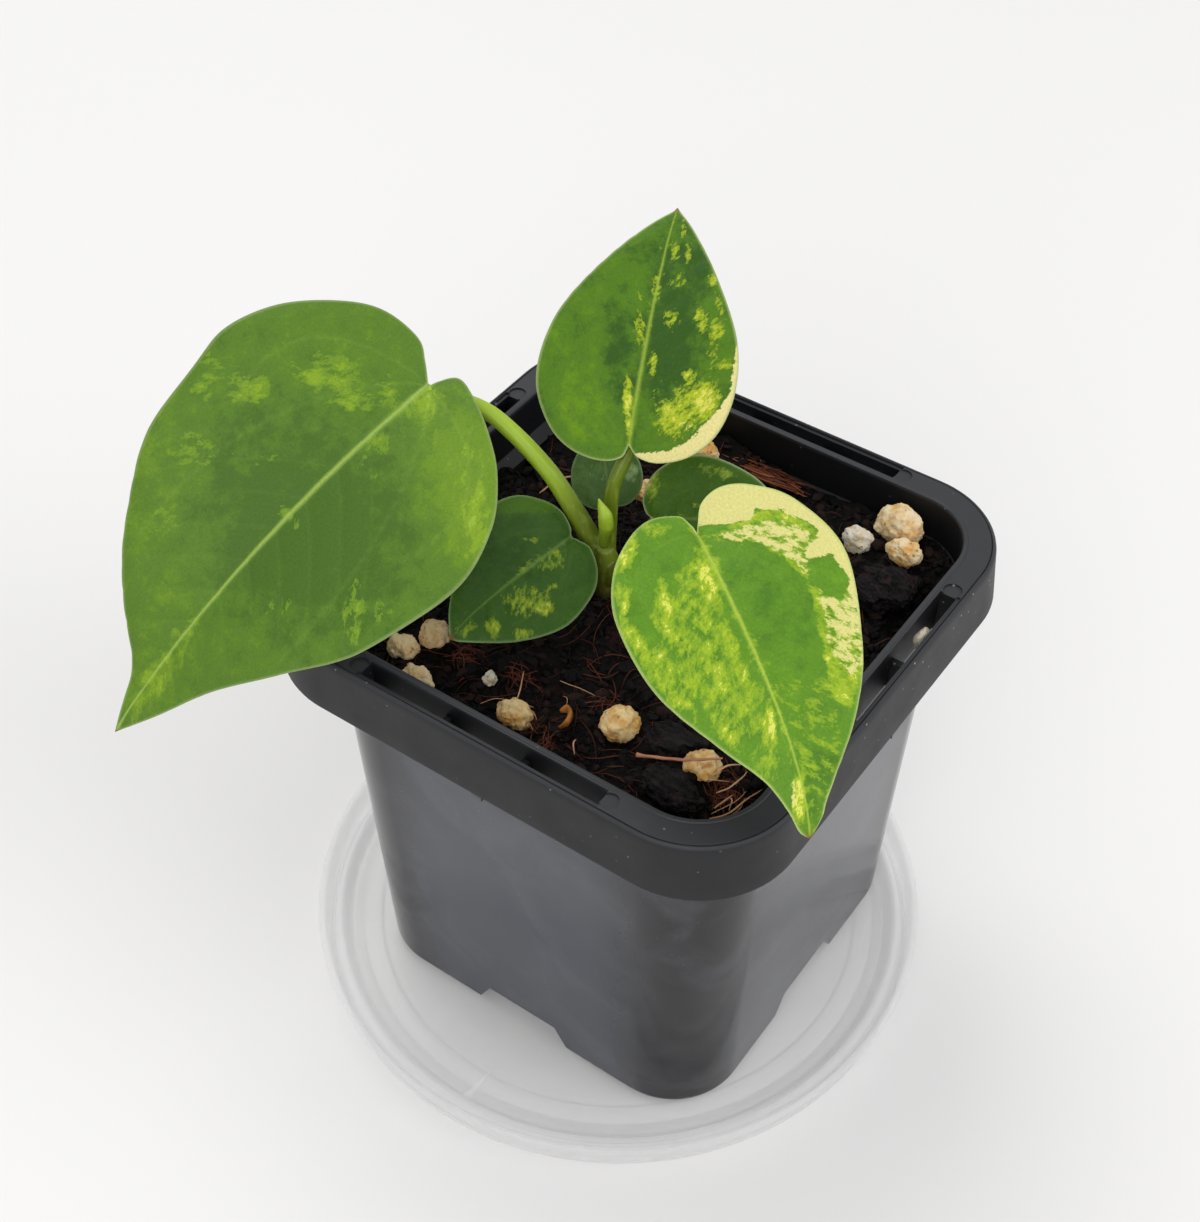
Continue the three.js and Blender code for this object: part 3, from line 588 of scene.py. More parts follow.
mix = {
    "top": potTop - 8.2,
    "sideGap": 0.45,
    "rings": 150,
    "perCorner": 100,
    "clods": {"size": 4.2, "depth": 1.5},
    "crumbs": {"size": 1.5, "depth": 0.62},
}


# Height of the mix over its mean level, as in the part: swells, crumbs and the banks at the walls
def mixRelief(x, y):
    swell = 0.7 * np.sin(0.16 * x + 1.3) * np.cos(0.13 * y - 0.4) + 0.35 * np.sin(0.31 * x - 0.27 * y)
    crumbs = 0.28 * np.sin(0.83 * x + 0.4 * y) * np.cos(0.71 * y - 0.5 * x + 1)
    cornerBank = 1.6 * np.exp(-((x - 25) ** 2 + (y - 27) ** 2) / 160)
    wallBank = 3.2 * np.exp(-((x + 8) ** 2) / 258 - ((y - 36) ** 2) / 60)
    mound = 1.3 * np.exp(-((x + 5) ** 2 + (y + 2) ** 2) / 60)
    return swell + crumbs + cornerBank + wallBank + mound


def mixHeight(x, y):
    flat = np.column_stack([x, y, np.zeros(len(x))])
    clods, crumbs = mix["clods"], mix["crumbs"]
    lumps = clods["depth"] * grainNoise(flat, clods["size"], 3, 3)
    folds = crumbs["depth"] * np.abs(grainNoise(flat, crumbs["size"], 9, 3)) * 1.6
    return mix["top"] + mixRelief(x, y) + lumps - folds + 0.25


# Composted bark and coir, sieved and damp: almost black, brown where a flake catches the light
def makeMixMaterial():
    material, tree, place, flake, rust, rough, grit = newMaterial(
        "damp_bark_and_coir", [(2.4, 5), (5.5, 4), (1.2, 3), (0.45, 4)])
    tone = layColours(tree, "#050404", [(flake, 0.4, 0.7, 1, "#16100e"), (rust, 0.58, 0.74, 0.75, "#2d1711")])
    return finishMaterial(material, tree, [(grit, 0.4)], {
        "Base Color": tone, "Specular IOR Level": 0.12,
        "Roughness": addNode(tree, "Math", {0: rough, 1: 0.5, 2: 0.45}, operation="MULTIPLY_ADD")})


def makeMix():
    collar, waist, foot = pot["collar"], pot["waist"], pot["foot"]
    shrink = pot["wall"] + mix["sideGap"]
    edgeHalf, edgeCorner = collar["half"] - shrink, collar["corner"] - shrink
    perCorner, rings = mix["perCorner"], mix["rings"]
    count = 4 * perCorner
    edge = np.array(evenSquare(edgeHalf, edgeCorner, count))
    levels = []
    for i in range(1, rings + 1):
        share = i / rings
        levels.append(np.column_stack([edge * share, np.zeros(count)]))
    points = np.vstack([[[0, 0, 0]]] + levels)
    points[:, 2] = mixHeight(points[:, 0], points[:, 1])
    below = [
        (waist["half"] - shrink, waist["corner"] - shrink, potTop - waist["below"] - 2),
        (foot["half"] - shrink, foot["corner"] - shrink,
         pot["base"] + pot["footHeight"] + pot["floor"] + 0.3),
    ]
    for half, corner, z in below:
        ring = np.array(evenSquare(half, corner, count))
        points = np.vstack([points, np.column_stack([ring, np.full(count, z)])])
    # The rings start after the middle point, which closes the first of them
    ringed = [tuple(i + 1 for i in face) for face in ringFaces(rings + len(below), count, inward=True)]
    faces = [(0, 1 + i, 1 + (i + 1) % count) for i in range(count)] + ringed[:-2] + ringed[-1:]
    made = makeObject("mix_bed", points, faces, [makeMixMaterial()])
    register(made, "growing_mix", "growing_mix")


# Points evenly spaced round a square with round corners
def evenSquare(half, corner, count):
    outline = [p[:2] for p in squareRing(half, corner, 0, 24)]
    outline = np.array(outline + [outline[0]])
    lengths = np.concatenate([[0], np.cumsum(np.linalg.norm(np.diff(outline, axis=0), axis=1))])
    places = np.linspace(0, lengths[-1], count, endpoint=False)
    return np.column_stack([np.interp(places, lengths, outline[:, k]) for k in (0, 1)])


makeMix()
print("mix made")

# Things in and on the mix

litter = {
    "seed": 11,
    "smallGrain": 6,
    "crumbs": 6500,
    "fibres": 460,
    "edge": 34.2,
    "corner": 8.6,
    "crumbSize": (0.2, 1.35),
    "fibreLength": (2.5, 9.0),
    "fibreRadius": (0.045, 0.12),
    # Pale roots and husk strands that show near the front corner: the points each passes, then its radius
    "strands": [
        ([(29.0, -27.7), (30.7, -25.6), (31.4, -22.4), (32.0, -19.5)], 0.15),
        ([(28.6, -25.8), (29.3, -24.3), (29.4, -22.4)], 0.16),
        ([(29.2, -23.2), (30.0, -23.8), (30.3, -25.0)], 0.12),
        ([(27.6, -23.8), (28.7, -22.5), (29.2, -20.2), (29.0, -18.6)], 0.13),
        ([(25.6, -23.3), (26.7, -20.3), (27.9, -18.2)], 0.15),
        ([(24.7, -23.5), (26.3, -23.0), (28.1, -21.5)], 0.08),
        ([(28.8, -26.9), (30.4, -23.9), (30.6, -20.6)], 0.08),
        ([(30.4, -26.4), (31.4, -24.2), (30.8, -21.8)], 0.07),
        ([(-6.2, -20.4), (-3.9, -24.5), (-3.1, -27.1)], 0.1),
        ([(-3.7, -28.8), (-2.3, -25.8), (-1.3, -24.7)], 0.09),
        ([(-2.3, -25.8), (-1.0, -25.5), (0.4, -26.2)], 0.09),
        ([(-3.1, -26.3), (-1.2, -27.0), (1.3, -28.3)], 0.08),
        ([(6.9, -26.3), (7.3, -27.4), (8.2, -28.4)], 0.13),
        ([(-1.3, -18.6), (1.8, -18.8), (4.4, -18.2)], 0.06),
        ([(-7.4, -28.7), (-5.8, -27.0), (-4.1, -25.9)], 0.06),
        ([(0.6, -20.6), (1.8, -21.2), (2.5, -22.6)], 0.05),
        ([(-26.0, 10.0), (-24.5, 14.5), (-20.0, 18.0)], 0.16),
    ],
    # Rust-brown tangles: x, y, spread, number of fibres
    "tangles": [(28.6, -22.8, 2.0, 60), (4.6, -30.0, 2.6, 34), (-14.5, -24.0, 2.8, 26), (5.6, -18.5, 1.8, 16),
                (0.6, -27.6, 2.2, 24), (-6.0, -22.0, 2.2, 18), (22.0, 14.0, 3.5, 24), (4.0, 27.0, 4.0, 50)],
    "strandLift": 0.6,
    "twig": {"points": [(16.2, -25.5, 71.6), (22.4, -23.5, 72.9), (26.5, -20.9, 73.5)],
             "radii": (0.22, 0.2, 0.14)},
    "tuftFibres": 38,
    "wallStrand": {"points": [(33.2, 33.2, 75.6), (33.6, 32.2, 73.2), (33.2, 30.6, 70.6)], "radius": 0.16},
    "husk": {"points": [(2.9, -24.3, 1.0), (3.8, -23.8, 1.5), (4.7, -24.5, 1.5), (4.9, -25.6, 1.1),
                        (4.4, -26.6, 0.7)], "radii": (0.25, 0.8, 1.25, 1.3, 0.6), "thin": 0.3},
}


def insideMix(x, y):
    edge, corner = litter["edge"], litter["corner"]
    overX = np.maximum(np.abs(x) - (edge - corner), 0)
    overY = np.maximum(np.abs(y) - (edge - corner), 0)
    return np.hypot(overX, overY) < corner


def ballBody(levels):
    work = bmesh.new()
    bmesh.ops.create_icosphere(work, subdivisions=levels, radius=1)
    points = np.array([v.co[:] for v in work.verts])
    faces = [tuple(v.index for v in face.verts) for face in work.faces]
    work.free()
    return points, faces


# Coir dust, fibres and broken bark: damp brown-black to rust, each bit with its own tone
def makeLitterMaterial(name, dark, bright, roughness, grainMm):
    material, tree, place, grain = newMaterial(name, [(grainMm, 3)])
    own = addNode(tree, "Attribute", {}, "Fac", attribute_name="tone")
    tone = addNode(tree, "Mix", {0: own, 6: srgb(dark), 7: srgb(bright)}, 2, data_type="RGBA")
    half = addNode(tree, "Math", {0: grain, 1: 0.5}, operation="MULTIPLY")
    tone = addNode(tree, "Mix", {0: half, 6: tone, 7: srgb(dark)}, 2, data_type="RGBA")
    return finishMaterial(material, tree, [(grain, 0.08)], {
        "Base Color": tone, "Roughness": roughness, "Specular IOR Level": 0.18})


def makeCrumbs():
    random = np.random.default_rng(litter["seed"])
    ball, ballFaces = ballBody(1)
    places = random.uniform(-litter["edge"], litter["edge"], (2 * litter["crumbs"], 2))
    places = places[insideMix(places[:, 0], places[:, 1])][:litter["crumbs"]]
    heights = mixHeight(places[:, 0], places[:, 1])
    low, high = litter["crumbSize"]
    bodies, tones = [], []
    for (x, y), z in zip(places, heights):
        size = low + (high - low) * random.random() ** 3
        half = size * random.uniform((0.5, 0.4, 0.3), (1.3, 0.9, 0.7))
        spin = Matrix.Rotation(random.uniform(0, 6.28), 3, "Z")
        spin = spin @ Matrix.Rotation(random.uniform(-0.7, 0.7), 3, "X")
        points = ball * half * random.uniform(0.75, 1.2, (len(ball), 1))
        points = points @ np.array(spin).T + (x, y, z + half[2] * 0.35)
        bodies.append((points, ballFaces))
        tones.append(np.full(len(ball), random.random() ** 2.2))
    made = makeObject("mix_crumbs", *joinBodies(bodies),
                      [makeLitterMaterial("broken_bark", "#050404", "#2a1a15", 0.8, 0.8)], smooth=False)
    addPointValues(made, "tone", np.concatenate(tones))
    register(made, "growing_mix")


# level 0 follows the ground closely, level 1 lies straight across its high spots
def strandOnMix(points, radius, lift, sides=5, count=12, level=0.0):
    points = np.array(points, float)
    path = throughPoints(np.column_stack([points, np.zeros(len(points))]), count)
    ground = mixHeight(path[:, 0], path[:, 1])
    ground[1:-1] = (ground[:-2] + ground[1:-1] + ground[2:]) / 3
    path[:, 2] = (1 - level) * ground + level * ground.max()
    path[:, 2] += lift * (0.5 + np.sin(np.linspace(0, math.pi, count)))
    return sweepTube(path, [radius * 0.8, radius, radius * 0.5], sides)


def makeFibres():
    random = np.random.default_rng(litter["seed"] + 1)
    bodies, tones = [], []
    while len(bodies) < litter["fibres"]:
        x, y = random.uniform(-litter["edge"], litter["edge"], 2)
        heading = random.uniform(0, 2 * math.pi)
        length = random.uniform(*litter["fibreLength"])
        bow = random.uniform(-0.9, 0.9)
        steps = np.linspace(-0.5, 0.5, 5)
        path = np.column_stack([
            x + length * (steps * math.cos(heading) - bow * steps ** 2 * math.sin(heading)),
            y + length * (steps * math.sin(heading) + bow * steps ** 2 * math.cos(heading))])
        if not insideMix(path[:, 0], path[:, 1]).all():
            continue
        body = strandOnMix(path, random.uniform(*litter["fibreRadius"]), random.uniform(0.05, 0.5), 4, 8)
        bodies.append(body)
        tones.append(np.full(len(body[0]), random.random() ** 1.6))
    for x, y, spread, number in litter["tangles"]:
        for _ in range(number):
            middle = np.array([x, y]) + random.normal(0, spread / 2, 2)
            heading = random.uniform(0, 2 * math.pi)
            reach = random.uniform(0.8, 2.4) * np.array([math.cos(heading), math.sin(heading)])
            bend = random.normal(0, 0.5, 2)
            path = np.array([middle - reach, middle + bend, middle + reach])
            if insideMix(path[:, 0], path[:, 1]).all():
                body = strandOnMix(path, random.uniform(0.05, 0.12), random.uniform(0.1, 0.6), 4, 8)
                bodies.append(body)
                tones.append(np.full(len(body[0]), random.uniform(0.5, 1.1)))
    made = makeObject("mix_fibres", *joinBodies(bodies),
                      [makeLitterMaterial("coir_fibre", "#1a0e0b", "#703a29", 0.6, 1.5)])
    addPointValues(made, "tone", np.concatenate(tones))
    register(made, "coir")


# Fresh roots and husk strands: straw to pinkish beige, dry and dull
def makeStrands():
    bodies = [strandOnMix(points, radius, litter["strandLift"], 6, 16, 0.75)
              for points, radius in litter["strands"]]
    wall = litter["wallStrand"]
    bodies.append(sweepTube(throughPoints(wall["points"], 14), [wall["radius"], wall["radius"] * 0.6], 6))
    points, faces = joinBodies(bodies)
    made = makeObject("root_strands", points, faces,
                      [makeLitterMaterial("dry_root", "#b07c57", "#edc79e", 0.6, 1.2)])
    addPointValues(made, "tone", 0.5 + 0.5 * grainNoise(points, 3.0, 4))
    register(made, "coir")


# A curled scrap of orange husk, like a wood shaving
def makeHusk():
    husk = litter["husk"]
    points = np.array(husk["points"], float)
    points[:, 2] += mixHeight(points[:, 0], points[:, 1]).mean()
    ribbon = lambda angle, share: 1 / math.hypot(math.cos(angle), math.sin(angle) / husk["thin"])
    points, faces = sweepTube(throughPoints(points, 40), husk["radii"], 16, ribbon)
    made = makeObject("husk_scrap", points, faces,
                      [makeLitterMaterial("coir_husk", "#6d3a16", "#cf8a3e", 0.55, 0.9)])
    addPointValues(made, "tone", 0.5 + 0.7 * grainNoise(points, 1.2, 5))
    register(made, "coir")


# Pumice and perlite: porous, chalky, stained straw to orange where they have lain in water
def makeGrainMaterial(name, pale, stain, rust):
    material, tree, place, cloud, patch, pitted, skin = newMaterial(
        name, [(2.6, 4), (1.7, 4), (1.1, 2), (0.5, 5, 0.7, 0.0)])
    tone = layColours(tree, pale, [(cloud, 0.4, 0.66, 1, stain), (patch, 0.56, 0.7, 0.75, rust)])
    pores = addNode(tree, "TexVoronoi", {"Vector": place, "Scale": 1 / (0.75 * mm)}, "Distance")
    pits, where = (addNode(tree, "MapRange", {"Value": value, "From Min": start, "From Max": full},
                           interpolation_type="SMOOTHSTEP")
                   for value, start, full in ((pores, 0.32, 0.08), (pitted, 0.5, 0.6)))
    holes = addNode(tree, "Math", {0: pits, 1: where}, operation="MULTIPLY")
    # The pits turn a darker brown
    darkerPits = addNode(tree, "Math", {0: holes, 1: 0.6}, operation="MULTIPLY")
    tone = addNode(tree, "Mix", {0: darkerPits, 6: tone, 7: srgb("#7a5a3a")}, 2, data_type="RGBA")
    return finishMaterial(material, tree, [(skin, 0.34), (holes, -0.15)], {
        "Base Color": tone, "Roughness": 0.9, "Specular IOR Level": 0.2})


# Each kind of lump: how often its faces are halved, the depth and width of its bumps in mm, how they are
# squeezed across the grain, and how much of the solid's box it fills
lumps = {
    "grain": {"slot": "pumice", "levels": 3, "rough": 0.55, "bump": 0.9, "seed": 20, "fill": 0.97},
    "smallGrain": {"slot": "pumice", "levels": 3, "rough": 0.55, "bump": 0.9, "seed": 20, "fill": 0.88},
    "slotGrain": {"slot": "pumice", "levels": 3, "rough": 0.12, "bump": 0.8, "seed": 50, "fill": 1.0},
    "bark": {"slot": "bark", "levels": 4, "rough": 1.15, "bump": 1.9, "seed": 60, "fill": 1.0,
             "squeeze": 1.6},
}


# The part's own lump, made finer and given a rough skin, inside the same box
def makeLump(name, node, lump, material, number=0):
    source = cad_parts[node]
    mesh = source.data.copy()
    mesh.transform(source.matrix_world)
    made = bpy.data.objects.new(name, mesh)
    bpy.context.scene.collection.objects.link(made)
    mesh.materials.clear()
    mesh.materials.append(material)
    work = bmesh.new()
    work.from_mesh(mesh)
    bmesh.ops.remove_doubles(work, verts=work.verts, dist=0.02 * mm)
    work.to_mesh(mesh)
    work.free()
    modifier = made.modifiers.new("finer", "SUBSURF")
    modifier.levels = modifier.render_levels = lump["levels"]
    applyModifiers(made)
    mesh = made.data
    count = len(mesh.vertices)
    points, normals = np.empty(3 * count), np.empty(3 * count)
    mesh.vertices.foreach_get("co", points)
    mesh.vertices.foreach_get("normal", normals)
    points, normals = points.reshape(-1, 3) / mm, normals.reshape(-1, 3)
    low, high = (np.array(corner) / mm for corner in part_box(node))
    middle, half = (low + high) / 2, (high - low) / 2
    spread = np.abs(points - middle).max(axis=0)
    points = middle + (points - middle) * (lump["fill"] * half / spread)
    squeeze, seed = lump.get("squeeze", 1), lump["seed"] + number
    place = points * np.array([1, squeeze, squeeze])
    bumps = grainNoise(place, lump["bump"], seed, 4, 0.55)
    ridges = -np.abs(grainNoise(place, lump["bump"] * 1.6, seed + 5, 3))
    points += normals * (lump["rough"] * (bumps + 0.8 * ridges + 0.25))[:, None]
    points = np.clip(points, low, high)
    mesh.vertices.foreach_set("co", (points * mm).ravel())
    mesh.polygons.foreach_set("use_smooth", np.full(len(mesh.polygons), True))
    mesh.update()
    register(made, lump["slot"], node)


# Orchid bark: charred-looking, fibrous along the grain, brown on broken faces
def makeBarkMaterial():
    material, tree, place, broken = newMaterial("composted_bark", [(3.2, 3)])
    grain = addNode(tree, "Mapping", {"Vector": place, "Rotation": (0, 0, 0.5), "Scale": (1, 3.2, 3.2)})
    threads = {"Vector": grain, "Scale": 1 / (2.2 * mm), "Detail": 5, "Roughness": 0.55}
    fibres = addNode(tree, "TexNoise", threads, "Fac")
    tone = layColours(tree, "#060506", [(fibres, 0.4, 0.68, 1, "#241b1d"),
                                        (broken, 0.55, 0.72, 0.7, "#301b15")])
    return finishMaterial(material, tree, [(fibres, 0.7)], {
        "Base Color": tone, "Specular IOR Level": 0.16,
        "Roughness": addNode(tree, "Math", {0: fibres, 1: 0.4, 2: 0.4}, operation="MULTIPLY_ADD")})


def makeTuft():
    random = np.random.default_rng(litter["seed"] + 2)
    low, high = (np.array(corner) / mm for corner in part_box("coir_tuft"))
    middle, size = (low + high) / 2, high - low
    bodies = []
    for k in range(litter["tuftFibres"]):
        share = random.uniform(-1, 1)
        start = middle + size * (random.uniform(-0.46, -0.1), 0.3 * share, random.uniform(-0.4, -0.1))
        end = middle + size * (random.uniform(0.1, 0.49), 0.47 * random.uniform(-1, 1),
                               random.uniform(-0.1, 0.42))
        if k % 4 == 0:
            start[0], end[0] = 2 * middle[0] - start[0], 2 * middle[0] - end[0]
        bend = (start + end) / 2 + size * random.uniform(-0.22, 0.22, 3)
        radius = random.uniform(0.05, 0.2)
        radii = [radius * 0.6, radius, radius * 0.3]
        bodies.append(sweepTube(throughPoints([start, bend, end], 12), radii, 5))
    points, faces = joinBodies(bodies)
    made = makeObject("coir_bundle", np.clip(points, low, high), faces,
                      [makeLitterMaterial("coir_bundle_fibre", "#3d1c14", "#a8623f", 0.6, 1.4)])
    addPointValues(made, "tone", 0.5 + 0.5 * np.repeat(random.uniform(-1, 1, len(bodies)), len(bodies[0][0])))
    register(made, "coir", "coir_tuft")


def makeTwig():
    path = throughPoints(litter["twig"]["points"], 40)
    path += 0.05 * np.column_stack([grainNoise(path, 2.0, seed) for seed in (1, 2, 3)])
    knot = lambda angle, share: (1 + 0.5 * math.exp(-(share / 0.05) ** 2)
                                 + 0.15 * math.sin(7 * angle + 30 * share))
    body = sweepTube(path, litter["twig"]["radii"], 10, knot)
    made = makeObject("twig_bark", *body, [makeLitterMaterial("dry_twig", "#8a4f38", "#d3977a", 0.55, 1.0)])
    addPointValues(made, "tone", 0.6 + 0.4 * grainNoise(body[0], 1.5, 6))
    register(made, "twig", "twig")


makeCrumbs()
makeFibres()
makeStrands()
makeHusk()
# Which grains have which look, with its colours from pale to rusty
grainLooks = {
    "stained_pumice": {"grains": (5, 6, 7, 11, 12), "colours": ("#f1d49c", "#e0ab5e", "#c17d3b")},
    "perlite": {"grains": (4, 10), "colours": ("#e6dfd0", "#ddcca8", "#cf9e5a")},
    "iron_stained_pumice": {"grains": (8, 9), "colours": ("#efdcb4", "#e7b972", "#d8953c")},
    # Grains 1 to 3 lie in the large leaf's shade and get a paler copy of the pumice as painted light
    "pale_pumice": {"grains": (1, 2, 3), "colours": ("#fce4b6", "#f7cd90", "#e3a052")},
}
grainMaterials = {look: makeGrainMaterial(look, *made["colours"]) for look, made in grainLooks.items()}
for number, look in sorted((number, look) for look, made in grainLooks.items() for number in made["grains"]):
    lump = lumps["smallGrain" if number == litter["smallGrain"] else "grain"]
    makeLump("grain_" + str(number), "pumice_grain_" + str(number), lump, grainMaterials[look], number)
makeLump("grain_in_slot", "slot_grain", lumps["slotGrain"], grainMaterials["perlite"])
barkLook = makeBarkMaterial()
for number in (1, 2, 3):
    makeLump("bark_" + str(number), "bark_chunk_" + str(number), lumps["bark"], barkLook, number)
makeTuft()
makeTwig()
print("loose things made")
